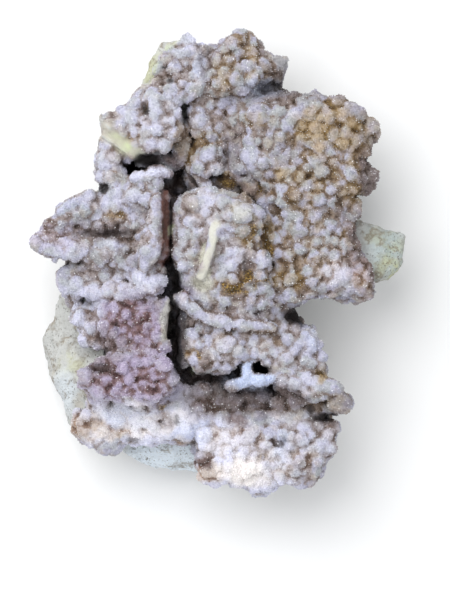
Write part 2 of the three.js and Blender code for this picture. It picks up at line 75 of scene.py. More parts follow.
# Layers of noise: the size of their features, an offset that picks the noise, and their strength.
ROCK_RIDGES = ((16, 1.0, 1.0), (7, 2.0, 0.6))
ROCK_GRAIN = ((2.2, 5.0, 0.35), (1.1, 6.0, 0.22))
KNOBS = ((2.6, 31.0, 1.3), (1.5, 17.0, 0.35))

# Rounds of evening out that bring out the lumps' tops, the swells under them and the creases.
CROWN_ROUNDS, SWELL_ROUNDS, CREASE_ROUNDS = 10, 120, 8

# The studio, in metres, apart from the sensor's millimetres. A lamp has its name, place, width and
# share of the key light's power.
CAMERA_PLACE = (0.00276, -0.01167)
SENSOR = 24
LAMPS = (("key", (-0.4, 0.5, 0.95), 1.1, 1.0), ("fill", (0.2, -0.8, 0.8), 0.8, 0.12))
SKY_TINT = (0.96, 0.98, 1.0, 1)

# Rings of rays to the sky: degrees over the horizon, and number of rays.
SKY_RINGS = ((12, 5), (35, 5), (62, 4), (90, 1))
UP = np.array((0, 0, 1.0))
DOWN = Vector((0, 0, -1))

LUMP_TRIES = 110000  # places tried for the small lumps
SUGAR_TRIES = 9  # places tried for each crystal of a quarter
QUARTERS = ("sugar_south", "sugar_middle", "sugar_upper", "sugar_north")  # of the sugar coat
CRYSTAL_CORNERS = 4
NEAR_LUMPS = 12  # how many lumps are looked at around a place
NONE_NEAR = 9  # stands for the distance to another group where there is none
BALL_SHARE = 0.94  # radius of a lump's own ball, as a share of the lump's
LUMP_FACETS, BUD_FACETS = 2, 1  # subdivisions of their balls

DRAWS = {}  # the crust leaves its random draws here, so that they go on in the sugar coat


def along(route, pitch):
    """Places at an even pitch along a route."""
    places = [np.array(route[0], float)]
    for start, end in zip(route[:-1], route[1:]):
        start, end = np.array(start, float), np.array(end, float)
        steps = max(1, round(np.linalg.norm(end - start) / pitch))
        places += [start + (end - start) * step / steps for step in range(1, steps + 1)]
    return places


def band(route, reach, strength):
    """Spots in a row, for a stripe that runs aslant."""
    return [(x, y, reach, reach, strength) for x, y in along(route, reach * 0.7)]


# Where things are on the cluster, in millimetres seen from above. A spot is x, y, reach along x,
# reach along y and strength.

# Ochre stain.
TAN_SPOTS = [
    (7, 76, 5, 3, 0.5), (11, 70, 3, 4, 0.7), (2, 61, 4, 5, 0.7), (-5, 42, 6, 4, 0.6),
    (-10, 38, 4, 6, 0.8), (4, 28, 4, 3, 1.0), (13, 49, 5, 4, 0.7), (26, 44, 4, 4, 0.6),
    (37, 47, 6, 6, 0.9), (34, 41, 5, 4, 0.9), (43, 44, 6, 6, 1.0), (52, 46, 5, 7, 1.0),
    (40, 53, 8, 3, 0.6), (48, 20, 5, 5, 0.7), (36, 30, 6, 4, 0.6), (23, 31, 4, 3, 0.8),
    (46, 26, 5, 5, 0.8), (28, 20, 6, 4, 0.6), (46, 9, 5, 5, 0.9), (17, 11, 3, 6, 1.0),
    (10, 10, 4, 3, 0.7), (24, -5, 6, 4, 0.9), (35, -36.5, 3, 2.6, 1.0), (41, -44, 4, 3, 0.3),
    (48, -5, 5, 5, 0.7), (-27, 42, 6, 2, 0.5), (-33, 17, 4, 3, 0.6), (-34, 29, 5, 3, 0.5),
    (-7, 18, 3, 4, 0.25), (-9.6, -27.6, 3, 4, 0.8), (30, -65, 5, 3, 0.5), (14, -62, 5, 4, 0.2),
    (22, -68, 5, 3, 0.3), (-40.5, -52.6, 3.4, 3.4, 1.0), (-35, -56.8, 7, 2.4, 0.8),
    (-18.2, -52, 4, 3, 1.0), (-28, -54, 5, 2.6, 0.4), (-53, -14, 2, 4, 0.9), (-3, -69, 4, 4, 1.0),
    (17, -25, 4, 5, 0.6), (3, -26, 6, 5, 0.45), (-11, -59, 3, 2, 0.8), (24, -50, 6, 3, 0.5),
    (35, 46, 12, 9, 0.9), (50, 34, 6, 14, 0.8), (30, 31, 14, 10, 0.6), (10, 64, 10, 8, 0.55),
    (28, 14, 12, 8, 0.5), (30, 0, 14, 8, 0.4), (48, 36, 5, 7, 0.9), (16.4, 7, 1.8, 6, 1.0),
    (12, 24.6, 6, 3, 1.0), (7, -6.4, 9, 3, 0.6), (9, 17, 4, 3.6, 0.4), (-46, -54, 3, 4, 0.8),
    (10, -57, 6, 5, 0.3), (37, -48, 5, 4, 0.6), (-24, -48, 5, 2, 0.3), (-12.4, 41, 2.6, 7, 1.0),
    (38, 28, 20, 28, 0.25), (48, 44, 8, 8, 0.5),
]
# Reddish iron stain.
RUST_SPOTS = [
    (-17, 20, 2.4, 9, 1.0), (-17, 8, 2.4, 9, 1.0), (-19, -1, 2.5, 3, 1.0), (-31, -41.7, 2.4, 1.6, 1.0),
    (-38, -35.4, 5, 2.4, 1.0), (-19.4, -16, 1.4, 2.4, 1.0), (-25.4, -17, 4.4, 8, 0.8),
    (-24, -27, 3, 3, 0.35), (-22, -39, 6, 4, 0.45), (-41, -33.6, 2.4, 1.6, 0.8),
    (-37.4, -41.4, 2, 1.5, 0.8), (48, -9, 4, 2, 0.6), (-14, 70, 1.5, 1.5, 0.9), (48, 13, 4, 2.5, 0.8),
    (6.6, -53.4, 2.6, 3.4, 0.7), (-5, -66, 4, 3, 0.7), (10, -17, 9, 1.2, 0.4), (-14, -52, 1.4, 2.4, 0.9),
    (38, -8, 6, 2, 0.4), (28, -67, 4, 2, 0.5), (-40.4, -51.6, 2.6, 2.4, 1.0), (-16, -51.6, 2.6, 2, 0.9),
    (-45.6, -54, 2, 3, 0.5), (5, 29, 3, 2.4, 0.6), (-4.4, -47.6, 4, 4, 0.5), (-36, 30, 3, 2, 0.5),
    (-27, -58.4, 2.4, 1, 0.7), (-19, 34, 5, 2.4, 0.55), (-14.6, 29, 2, 4, 0.5), (12, 24.6, 5, 2.4, 0.55),
    (-8, -7.6, 3.6, 3, 0.5), (16.4, 7, 1.2, 5, 0.5),
]
# Purple quartz.
AMETHYST_SPOTS = [
    (-27, -20, 12, 10, 1.0), (-30, -38, 16, 9, 1.0), (-20, -33, 7, 9, 0.9), (-35, -18, 5, 7, 0.9),
    (-55, 10, 9, 5, 0.35), (-18, -10, 5, 3, 0.4), (-8, -8, 4, 3, 0.5), (48, 0, 5, 9, 0.3),
]

# Lines that pass along seams, edges and a wall.
SEAM = [(-0.6, 13.3), (-1.4, 8.6), (-2.4, 4), (-4, -0.8), (-5.6, -5)]
YELLOW_EDGE = [(-37.6, 44.8), (-33.6, 42), (-29.6, 39), (-26.8, 36)]
CRAG_EDGE = [(-23.4, 61), (-21.6, 67), (-18.8, 72.4), (-14, 75)]
LOBE_EDGE = [(-15.4, -10.6), (-16.4, -17), (-16.6, -24)]
FIN_WALL = [(-17.2, 24), (-16.8, 14), (-16.8, 6), (-17.8, 1)]

# Bare cream-coloured seams and rims.
CREAM_SPOTS = band(SEAM, 1.7, 1.0) + band(LOBE_EDGE, 1.3, 0.8) + band(YELLOW_EDGE, 2.8, 0.7) + [
    (-4.2, -6.4, 3.4, 3.2, 1.0), (8.6, 17.4, 4, 3.6, 0.5), (-3, -10.6, 4, 2, 0.4), (-35, 43, 3, 2, 0.5),
]
# Sulphur-coloured bloom.
LICHEN_SPOTS = band(YELLOW_EDGE[1:], 2.6, 0.3) + band(CRAG_EDGE, 1.5, 0.6) + [
    (-14.8, 12, 1.2, 1.6, 1.0), (-8, -36, 1.4, 1.6, 1.0), (-29.8, 39.4, 2.6, 1.8, 0.8),
    (-33.6, 42.6, 1.8, 1.2, 0.5),
]
# Brown-grey quartz, and painted shade on the slopes, valleys and recesses that lie in shadow.
SMOKY_AND_SHADE_SPOTS = [
    (20, 59, 5, 3.6, 0.8), (-4, 68, 3, 4, 0.7), (48, 11, 5, 4, 0.9), (51, 30.4, 3.6, 6.4, 1.0),
    (21, 66, 3, 5, 0.45), (16, 73, 3, 3, 0.5), (45, 16, 5, 3, 0.5), (49, 38, 3, 3, 0.6),
    (7, 58, 6, 2, 0.4), (-5, -43, 8, 8, 0.75), (12, -45, 14, 6, 0.95), (24, -45, 7, 4, 1.0),
    (-1, -39, 10, 3, 1.0), (37, -49, 5, 2, 0.4), (6, -51, 4, 4, 0.8), (-37, 10.8, 9, 2.8, 1.0),
    (-34, 2, 8, 1.6, 0.35), (10, 28, 5, 3, 0.5), (50, 50, 6, 3, 0.5), (35, -53, 5, 1.5, 0.5),
    (-37, -25, 3, 4, 0.5), (-31, -26, 4, 3, 0.55), (-36.5, -31, 5, 2.5, 0.6), (-11.6, -24, 1.6, 10, 1.0),
    (6, 36, 2, 6, 0.7), (53, 36, 2.5, 8, 1.0), (30, 57, 10, 2, 0.5), (51, 22, 2.8, 7, 1.0),
    (7, -7.4, 5, 1.4, 0.9), (9.4, -1, 1.2, 5, 0.8), (15, -4.6, 4, 1.2, 0.8), (52, -4, 2, 8, 0.5),
    (22, 57, 7, 2, 0.6), (48, 56, 8, 2, 0.4), (-46, 12, 5, 2, 0.5), (16, 30, 4, 3, 0.3),
    (12, 24.6, 5, 2.6, 0.6), (4, 39, 2, 4, 0.5), (47, 6, 3, 4, 0.6), (28, -16, 6, 3, 0.8),
    (-38, -35, 5, 2.4, 0.5), (49, 37, 3, 8, 0.5), (42, -45, 5, 3, 0.5), (-4.4, -66, 3.4, 1.8, 1.0),
    (5, 43, 4, 5, 0.15), (20, 55, 10, 2.4, 0.4), (23, 38, 4, 4, 0.3), (-17, 35.4, 6, 2.2, 1.0),
    (-13.4, 30, 2, 6, 0.9), (-12, 40, 2.6, 7.6, 0.55),
]
# The palest quartz, and painted light, such as the highlight at the southern end.
BRIGHT_AND_HIGHLIGHT_SPOTS = [
    (4, -68, 13, 8, 1.0), (16, -73, 10, 5, 1.0), (14, -62, 14, 6, 0.6), (-34, -50, 10, 7, 0.9),
    (-37, -8, 17, 4, 0.45), (-22, 9, 3, 13, 0.25), (-7, -12.5, 7, 2.5, 0.4), (6, -18, 13, 2.6, 0.3),
    (10, -38.6, 9, 3, 1.0), (-49, 4, 6, 4, 0.45), (28, -39.6, 9, 3, 0.45), (28, -58, 12, 9, 0.5),
    (0, -57, 13, 6, 1.0), (-60, 8, 4, 3, 0.4), (-20, 48, 12, 10, 0.45), (25.7, 50, 2.6, 2.6, 0.6),
    (-37, 32, 5, 7, 0.5), (-22, -6, 8, 4, 0.6), (40, -3, 7, 4, 0.65), (-4, 16, 7, 6, 0.3),
    (-40, -56, 9, 5, 0.6), (-24, -53, 11, 8, 1.0), (-21, 30.4, 7, 2.6, 0.9), (-36, 22, 9, 4, 0.4),
    (3, -27, 7, 6, 0.45), (-8, -28, 4, 5, 0.4), (18, -27, 8, 6, 0.4), (-36, 13, 7, 3, 0.4),
    (28, -28, 8, 7, 0.2), (-44, -19, 6, 10, 0.55), (-6.2, 75.4, 4, 3, 1.0), (22, -63, 14, 8, 0.5),
    (-10, 73, 4, 3, 0.5), (34, -58, 8, 9, 0.5), (-5, 16, 5, 5, 0.6), (-9, 66, 7, 8, 0.25),
    (9, 18, 5, 4, 0.35), (-31, 18, 6, 5, 0.35), (3, -4, 6, 6, 0.3), (-11, 4, 3, 8, 0.3),
    (-10, -50, 3.4, 10, 0.9), (-47, -50, 5, 8, 0.7), (-20, -60, 12, 4, 0.9), (12, 35, 5, 4, 0.35),
    (-1, 34, 5, 4, 0.4), (-6, 48, 3, 3, 0.4), (22, -50, 3, 2, 0.5), (18, -45, 1.6, 2.2, 0.5),
    (20, -50.4, 2, 2, 0.8), (-4, 23, 5, 4, 0.4), (5, 4, 4, 6, 0.5), (15, -27, 6, 4, 0.5),
    (15, 1.6, 3, 3, 0.4), (-28, 22, 5, 4, 0.4), (-35, 5.6, 5, 3, 0.4),
]
# Chalk-white tops, and a painted highlight at the southern end.
WHITE_AND_HIGHLIGHT_SPOTS = [
    (9.5, -69.6, 7, 4.6, 1.0), (2, -68.4, 4, 3, 0.7), (14, -72, 5, 3, 0.7), (0, -59, 7, 4, 0.35),
    (13, -66, 12, 7, 0.15), (-35, -49.6, 6, 4, 0.9), (-28, -48, 5, 3, 0.8), (-24, -54, 7, 4, 0.8),
    (-13, -52, 4, 4, 0.5), (-38, -57, 6, 2, 0.4), (20, -64, 5, 4, 0.3), (-47, -46, 4, 3, 0.5),
]
# Blue-white tops.
COOL_SPOTS = [
    (11, -38.6, 9, 2.6, 1.0), (10, -35, 2, 3, 1.0), (-34, -50, 7, 4, 0.6), (32, -25, 3, 5, 0.4),
    (-50, 19.4, 6, 2.4, 0.2), (36, -22, 2, 4, 0.7), (38.6, -34, 2, 4, 0.4), (-10, -56, 7, 4, 0.4),
    (21, -61, 2, 5, 0.3), (-31, -47, 5, 2, 0.3), (17, 59.6, 8, 3, 0.55), (-48, -46, 3, 3, 0.3),
    (-24, -52, 9, 4, 0.4), (-6, 67, 2, 4, 0.4),
]
# Lumps larger than elsewhere.
COARSE_SPOTS = [
    (-5, -45, 9, 7, 1.0), (12, -47, 14, 6, 0.8), (26, 50, 5, 4, 0.6), (-28, -34, 10, 6, 0.4),
    (9, 17, 6, 5, 0.7), (26, 16, 7, 5, 0.5), (36, 22, 5, 4, 0.6), (-38, 34, 5, 8, 0.4),
    (12, 37, 6, 5, 0.4), (14, -2, 6, 4, 0.4), (-30, -52, 16, 8, 0.5), (6, -62, 16, 12, 0.4),
    (-44, -18, 5, 10, 0.5), (-34, -7, 16, 4, 0.5), (-24, 47, 10, 10, 0.5), (28, -27, 8, 7, 0.5),
    (42, 47, 9, 7, 0.4), (40, -3, 6, 4, 0.4), (-36, -16, 5, 5, 0.5),
]
# Lumps smaller than elsewhere.
FINE_SPOTS = [
    (-22, 8, 3, 14, 0.5), (-6, -13, 8, 3, 0.7), (9, -19, 12, 3, 0.7), (-26, -19, 5, 8, 1.0),
    (-21, -39, 7, 4, 0.9), (11, -38, 8, 4, 0.6), (50, -3, 4, 6, 0.8), (-33, -2.6, 8, 2, 0.6),
    (17, 59, 7, 3, 0.6), (45, 14, 6, 5, 0.5), (-54, 10, 6, 4, 0.5), (23, 38, 5, 5, 0.4),
]
# Ochre-gold grains between the lumps.
GOLD_SPOTS = [
    (5.4, -8, 3.6, 1.8, 1.0), (10.4, -7, 3.2, 2, 1.0), (16, -5, 3, 1.4, 1.0), (11, -4.4, 2.4, 1.2, 0.9),
    (-24, 51.4, 1.4, 1.6, 1.0), (-6, -31, 1.4, 1.2, 1.0), (-18, -47, 1.4, 1.2, 0.9),
    (-53, -13, 1.2, 3, 0.9), (12, 11, 1.6, 1.4, 0.7), (-32, 17, 1.4, 1.4, 0.6), (4, 27, 2, 1.6, 0.8),
    (11.6, 25.6, 3, 1.4, 0.8), (14, -64, 2, 1.5, 0.4), (41, 40, 3, 1.4, 0.7), (-40, -49, 1.6, 1, 0.6),
    (35, -36.5, 2, 1.6, 0.8), (16.6, 6, 1.0, 4, 0.8), (38, 43, 1.4, 3, 0.5), (46, 41, 3, 1.2, 0.6),
    (-11, -59, 2.4, 0.9, 0.7),
]
# Smooth quartz without lumps.
BARE_SPOTS = (
    band(SEAM, 1.6, 1.0) + band(LOBE_EDGE, 1.1, 1.0) + band(YELLOW_EDGE, 2.6, 1.0)
    + band(CRAG_EDGE, 1.2, 1.0) + band(FIN_WALL, 1.4, 1.0))

# Hollows between the lobes, where hardly any light comes in.
DEEP_SPOTS = [
    (-13.8, 26.6, 1.8, 3.6, 1.0), (-22, 33.6, 3.4, 0.7, 0.8), (-15.2, 17, 0.7, 6, 1.0),
    (-15.3, 7, 0.6, 6, 0.9), (-15.2, -0.4, 1.2, 3, 1.0), (-13.6, -6, 2.2, 4, 1.0),
    (-13.8, -16, 1.7, 5, 1.0), (-13.4, -22, 1.8, 5, 1.0), (-13, -31, 1.8, 6, 1.0),
    (-37, 10.6, 8, 1.4, 0.65), (-23.6, 51.4, 1.2, 1.8, 0.9), (-15.4, 61.2, 1.2, 0.9, 0.9),
    (-17.4, 66, 1.3, 0.6, 0.9), (-11.6, -24, 1.5, 9, 0.6), (18.6, 59, 6, 2.6, 0.6),
    (-22.6, 35, 4.2, 2.2, 1.0), (50, 13.4, 3.4, 1.5, 0.8), (6, -8.4, 3, 0.7, 0.5),
    (12, -6.6, 3, 0.7, 0.5), (9.2, 0, 0.7, 4, 0.5), (16.6, 6, 0.8, 4, 0.5), (-10.8, 50.6, 1.0, 3.2, 1.0),
    (3.8, 37.4, 0.8, 1.8, 0.5), (8, 26.4, 1.4, 1.2, 0.6), (27.6, -17, 5.6, 3.2, 1.0),
    (-4, -37, 3, 1.2, 0.9), (3, -37.6, 3, 1.0, 0.9), (15.4, -34.8, 2.6, 1.5, 1.0),
    (36, -51, 4.4, 1.6, 0.95), (31.4, -48.2, 1.4, 1.6, 0.8), (-38, 25.6, 2.4, 1.7, 1.0),
    (48.4, 14.2, 1.2, 1.8, 0.7), (-38.8, -34.4, 4, 1.5, 0.7), (22, -59, 0.9, 2.4, 0.5),
    (-13.4, -51.6, 0.7, 1.8, 0.7), (-28, -58.6, 2.2, 0.7, 0.6), (-33.4, -20.6, 0.9, 2.2, 0.5),
]

# Swells of the ground without an edge.
SOFT_SPOTS = [(19, 47, 14, 11, 1.0), (13, 35, 10, 9, 1.0), (-21, 49, 9, 10, 0.8), (4, -46, 22, 9, 0.8)]

# Colours of the host rock: yellow-green bloom, blue-white and grey-green.
BLOOM_SPOTS = [(-22, 66, 3, 7, 0.7), (-49, -33, 4, 4, 0.5), (60, -3, 3, 5, 0.8), (57, 1, 3, 3, 0.5)]
BLUE_SPOTS = [(-16, -65, 16, 8, 1.0), (-51, -43, 4, 7, 0.5), (40, -57, 3, 6, 0.6), (51, 5, 3, 4, 0.15)]
TEAL_SPOTS = [(57, 5, 7, 9, 1.0)]

# What the materials read from each mesh. The crust has the upper ones only where it faces up.
ROCK_SPOTS = {"bloom": BLOOM_SPOTS, "blue": BLUE_SPOTS, "teal": TEAL_SPOTS}
QUARTZ_SPOTS = {
    "tan": TAN_SPOTS, "rust": RUST_SPOTS, "amethyst": AMETHYST_SPOTS, "smoky_and_shade": SMOKY_AND_SHADE_SPOTS,
    "bright": BRIGHT_AND_HIGHLIGHT_SPOTS,
}
UPPER_SPOTS = {
    "cream": CREAM_SPOTS, "lichen": LICHEN_SPOTS, "white": WHITE_AND_HIGHLIGHT_SPOTS, "cool": COOL_SPOTS,
    "gold": GOLD_SPOTS,
}

# Smooth rolls of quartz that grew along the rims: places they pass, their radius, and the height of
# their middle. Height 0 leaves a roll on the ground that it crosses. The first ones keep to one bud on
# each lump, and the others have many.
ROLLS = [
    ([(-19.8, 21.5), (-19.8, 16.4), (-20.8, 11.3), (-21.5, 7.2), (-22.9, 3.2), (-23.9, -0.9)], 2.3, 50.5),
    ([(-61, 8), (-58.4, 5.8), (-55, 5), (-50.7, 4.2), (-47.3, 3.4), (-44.8, 4.8), (-43.8, 7.2)], 2.2, 43.5),
    ([(-52.1, 17.6), (-48.3, 19.8), (-44.6, 21.8), (-42, 23)], 2.2, 42.5),
    ([(-12.4, -10.8), (-8.9, -14), (-4.9, -16.8), (0, -18.4), (4, -19.2)], 2.2, 49),
    ([(5, -19.3), (8.9, -19.9), (12.9, -20.5), (18, -20.9)], 1.9, 48.5),
    ([(20.6, -36.8), (24.6, -36.6), (28.3, -37.4), (31.5, -39.2), (35.5, -40), (38.8, -41)], 2.6, 42.5),
    ([(10.1, -33.6), (10.1, -37)], 1.6, 43),
    ([(4.6, -40.4), (8, -39.4), (12.1, -38.4), (16.1, -38.2), (18.6, -37.8)], 1.7, 42.6),
    ([(-51.6, -4), (-50.4, -7), (-46, -8), (-41, -8.6), (-36, -9.4)], 2.6, 0),
    ([(-33, -9.8), (-28, -9.4), (-23, -7), (-19, -4.8)], 2.5, 0),
    ([(-34, -45.4), (-28, -44.8), (-22, -45)], 1.9, 0),
    ([(29, -32), (30.6, -27), (29.4, -23)], 2.0, 0),
    ([(-21, 57.5), (-20.2, 53), (-20, 48.6)], 2.1, 0),
    ([(-18.7, 55), (-12.2, 55), (-6.6, 57.8), (-5.2, 62.6), (-7, 67)], 1.9, 0),
    ([(-10, -52), (-2, -51.6), (6, -52), (14, -51.8), (22, -52), (30, -51)], 3.6, 33.2),
    ([(-11.4, 21.6), (-12.6, 17), (-12.9, 12), (-12.6, 7), (-12.2, 2)], 2.0, 46.2),
    ([(-17.2, 24), (-16.9, 14), (-17, 6), (-18, 2)], 1.6, 45),
    ([(-14, -41), (-13.4, -46), (-12, -52), (-10.6, -57)], 3.2, 34.8),
    ([(-10.4, -42), (-9.4, -48), (-8.4, -53.4)], 2.6, 33.6),
    ([(-10.6, -3.4), (-9.6, -6.4), (-6.6, -9.2), (-3, -11.8)], 2.3, 44.6),
    ([(-25.4, 35), (-21, 36), (-17, 35.6), (-13.4, 33.6)], 2.4, 36.4),
    ([(-11.2, -14), (-11.2, -20), (-11.6, -26), (-11.2, -33)], 1.7, 37),
    ([(5.4, 42), (6, 38), (6.2, 34), (7.2, 30)], 2.3, 39),
    ([(8, 28), (11, 26.2), (14, 24), (16.4, 20.6), (17, 15)], 2.3, 40.6),
    ([(39.6, -46.4), (42.8, -45.6)], 3.4, 40),
    ([(-27, 28.8), (-24.8, 29.8)], 2.1, 48),
    ([(-21.6, 31.2), (-19, 31), (-15.8, 30.4)], 1.8, 48.4),
    ([(-11.2, 47), (-11.4, 43), (-11.8, 39), (-12, 34.6)], 2.5, 38.6),
]
SMOOTH_ROLLS = 16
SMOOTH_BUDS, ROUGH_BUDS = 1, 8
COLUMN_BUDS, SMALL_BUDS = 6, 3  # on the lumps under a roll, and on the small lumps
ROLL_FOOT = 7  # how far down the lumps under a roll go
ROLL_SPOTS = [spot for route, radius, _ in ROLLS[:SMOOTH_ROLLS] for spot in band(route, radius * 1.1, 1.0)]

# Ribs with a flat top: places they pass, width and how far they stand over the ground.
RIBS = [(SEAM, 3.1, 1.7), (YELLOW_EDGE, 4.0, 0.4)]
RIB_DEPTH = 5

# The largest lumps: x, y and radius, how far they stand proud as a share of it, and their buds.
GREAT_PROUD = -0.02
GREAT_BUDS = 6
GREAT_LUMPS = [
    # the wing
    (-34.7, 23.3, 2.4), (-38, 23.4, 2.1), (-32.7, 20.3, 2.2), (-39.7, 16.7, 2.7), (-27.3, 23.3, 3.0),
    (-28, 16, 2.4), (-30.3, 12.6, 2.1), (-25.6, 19.6, 2.5), (-29.6, 19.2, 2.2), (-43.7, 13.7, 2.3),
    (-25.6, 9.3, 2.2), (-34.7, 6.7, 3.0), (-38.9, 7.3, 2.4), (-40, 3, 2.2), (-26.4, 30.4, 2.3),
    (-21.8, 32.6, 2.5), (-18, 31.4, 2.2), (-23.6, 28.6, 2.5), (-48, 5, 3.0), (-52.7, 12.6, 2.3),
    (-33.4, 27.4, 2.3), (-37, 34, 2.9), (-35.4, 29.4, 2.5), (-34, 33.6, 2.2),
    # the shelf and the slope below it
    (-50.2, -2.7, 3.0), (-46, -6, 3.1), (-40.6, -7.4, 2.8), (-36, -8.4, 3.1), (-30.6, -8.4, 2.8),
    (-26, -8.6, 3.0), (-25.3, -4.4, 2.9), (-18.2, -5.3, 2.5), (-16.9, -0.9, 2.2), (-37.3, -3.6, 2.4),
    (-31.6, 0.4, 2.2), (-44, -13.3, 3.8), (-45, -18, 3.4), (-41.3, -21.3, 3.1), (-44, -25, 2.8),
    (-40.2, -28, 2.6),
    # the western lobe
    (-37.2, -16, 3.0), (-33.6, -14.6, 2.8), (-23, -20, 2.0), (-22.4, -14, 2.6), (-31.3, -25.3, 3.0),
    (-32.7, -31.4, 2.7), (-27, -32.6, 2.6), (-18.2, -27, 3.0), (-18, -33.6, 2.9), (-38.2, -30.2, 1.9),
    (-43, -37, 3.4), (-39.6, -42, 3.2), (-29.3, -37.6, 2.9), (-15.6, -37.4, 3.0), (-33, -42, 2.6),
    (-26, -43, 2.4), (-20.4, -43.4, 2.4), (-27.6, -27, 2.2),
    # the boss
    (8.4, 17.1, 3.8), (2.8, 20.4, 2.9), (-4.8, 20.8, 2.7), (11.9, 20.6, 2.4), (13.6, 17, 2.2),
    (5.6, 4.5, 2.7), (5, -0.2, 2.6), (1.6, -3.6, 2.8), (-6.2, 10.8, 2.5), (-8.2, 3.8, 2.6),
    (-9.4, 14.6, 2.4), (3.6, 10, 2.4), (-2.6, -10.6, 2.8), (3, -11.6, 2.4), (12.2, -9, 2.0),
    (16.8, -9.4, 2.3), (15, 1.7, 3.2), (7.6, -12.8, 2.0), (9, 4.6, 2.0), (-9.4, -3, 2.2),
    (12.6, 8.6, 1.8),
    # the eastern plate
    (13.6, 50, 3.8), (25.4, 50.2, 3.0), (37.2, 48.8, 3.1), (33.7, 42.4, 2.7), (42.8, 43.8, 3.1),
    (47, 49.5, 3.0), (51.4, 46, 3.5), (20, 50.6, 2.6), (31, 50, 2.4), (11.4, 36.6, 3.6), (15.4, 34, 2.8),
    (9.4, 33, 2.7), (23.1, 31.9, 2.0), (32.3, 33.3, 2.4), (43.5, 35.6, 2.3), (44.2, 29.8, 2.8),
    (51.2, 30, 3.0), (48.4, 20, 3.0), (30.2, 26.3, 2.6), (21.7, 21.3, 2.4), (28, 21.4, 2.4),
    (33.9, 22, 2.8), (27.3, 16.2, 3.3), (36.5, 16.4, 2.0), (18.9, 17.6, 2.1), (33.7, 10.8, 2.4),
    (27.4, 5.2, 3.0), (32.4, 3.6, 2.4), (39.3, 8, 2.2), (42.1, -3.2, 3.6), (37, -2.2, 2.8),
    (31.6, -5.3, 2.2), (24.4, -4.6, 3.0), (21.7, -11, 2.2), (22.4, 10.6, 2.0), (20.4, 4, 2.1),
    (38, 25, 2.2), (26, 37, 2.0), (38.6, 37.4, 2.2), (41, 15, 2.0),
    # the northern crags
    (7, 71, 2.8), (10, 66, 2.7), (13.4, 64.4, 2.2), (3, 64, 2.8), (20.6, 67, 3.4), (-9, 71, 3.0),
    (-9.6, 74.4, 2.8), (-14, 65.4, 3.0), (-6.6, 63, 2.3), (-9, 58.6, 2.6), (-15, 58, 2.8),
    (-6, 48.3, 3.4), (-2, 53.9, 2.1), (1.6, 53.7, 2.1), (5.4, 47.8, 2.1), (-2.7, 36.6, 3.2),
    (-0.8, 32.4, 3.0), (-6, 32.4, 2.6), (-9, 41.6, 2.2), (8, 41.6, 2.2),
    # the western crag
    (-32, 46.6, 2.9), (-27.6, 48.6, 2.9), (-26.8, 53.6, 2.7), (-22.4, 55.6, 2.8), (-19.8, 51, 2.9),
    (-19.4, 45.6, 2.9), (-23.4, 44.4, 2.6), (-17.6, 40, 2.8), (-22, 39.6, 2.5), (-14.6, 50, 2.7),
    (-14.8, 44, 2.4), (-27, 44.4, 2.2),
    # the recess
    (-5.2, -42.6, 4.2), (-4.6, -48.2, 4.8), (1.4, -45.4, 3.6), (5.4, -46.2, 4.6), (10.2, -44, 3.6),
    (12.6, -49, 4.0), (7, -51.4, 3.6), (18, -44.6, 2.6), (15.4, -44, 3.4), (19.6, -50.2, 2.6),
    (22, -46, 3.8), (26, -45.6, 3.4), (1, -51, 3.6), (24.6, -50.6, 3.4), (-9.4, -46, 3.2),
    (29.4, -50.6, 2.8), (-0.6, -41.6, 3.4),
    # the lower plate
    (2.7, -26.3, 3.8), (-0.6, -29, 2.8), (6.6, -28.6, 2.6), (0, -23.4, 2.4), (6, -24, 2.4),
    (-8.6, -26.6, 2.6), (-7.4, -31.4, 2.2), (23.8, -24.6, 2.6), (23.2, -31.3, 2.8), (27.6, -26, 2.4),
    (31.3, -26.6, 2.6), (31.3, -32.5, 2.5), (34.8, -31, 2.3), (12.6, -29, 2.2), (16.6, -32, 2.2),
    (17, -26, 2.4), (-6, -22, 2.2),
    # the southern mass
    (4, -67, 2.8), (10, -68.4, 2.9), (6.6, -71.6, 2.6), (-3, -69, 2.9), (15.4, -67, 2.6), (22, -63, 2.6),
    (28, -58, 3.0), (-4, -57, 3.4), (3, -57.6, 3.2), (10, -58, 2.8), (16.6, -56.4, 2.6),
    (22.6, -56.6, 2.6), (34, -60, 2.7), (28, -65.6, 2.8), (40.4, -44.8, 3.2), (43.4, -46, 2.7),
    (37.4, -47.4, 2.4), (-5.6, -62, 3.0), (1, -62.6, 2.6), (12.6, -74, 2.6), (6.4, -73, 2.4),
    (21.6, -70, 2.6),
    # the south-western mass
    (-33, -52, 3.4), (-38.6, -49, 3.0), (-27, -51.4, 3.2), (-20.4, -49, 2.8), (-21, -54.6, 2.8),
    (-15.6, -48, 3.0), (-43.6, -50.6, 2.8), (-44, -56, 2.8), (-37.6, -56, 2.8), (-30.4, -57, 2.5),
    (-16, -56, 2.8),
]


# Properties

def length_setting(name, description, default, least, most):
    """A small length that a user may change, from values in millimetres."""
    return bpy.props.FloatProperty(
        name=name, description=description, default=default * MM, min=least * MM, max=most * MM,
        unit="LENGTH", precision=5)


def share_setting(name, description, default, least, most):
    return bpy.props.FloatProperty(
        name=name, description=description, default=default, min=least, max=most, subtype="FACTOR")


def colour_setting(name, description, default):
    return bpy.props.FloatVectorProperty(
        name=name, description=description, default=default, size=3, subtype="COLOR", min=0, max=1)


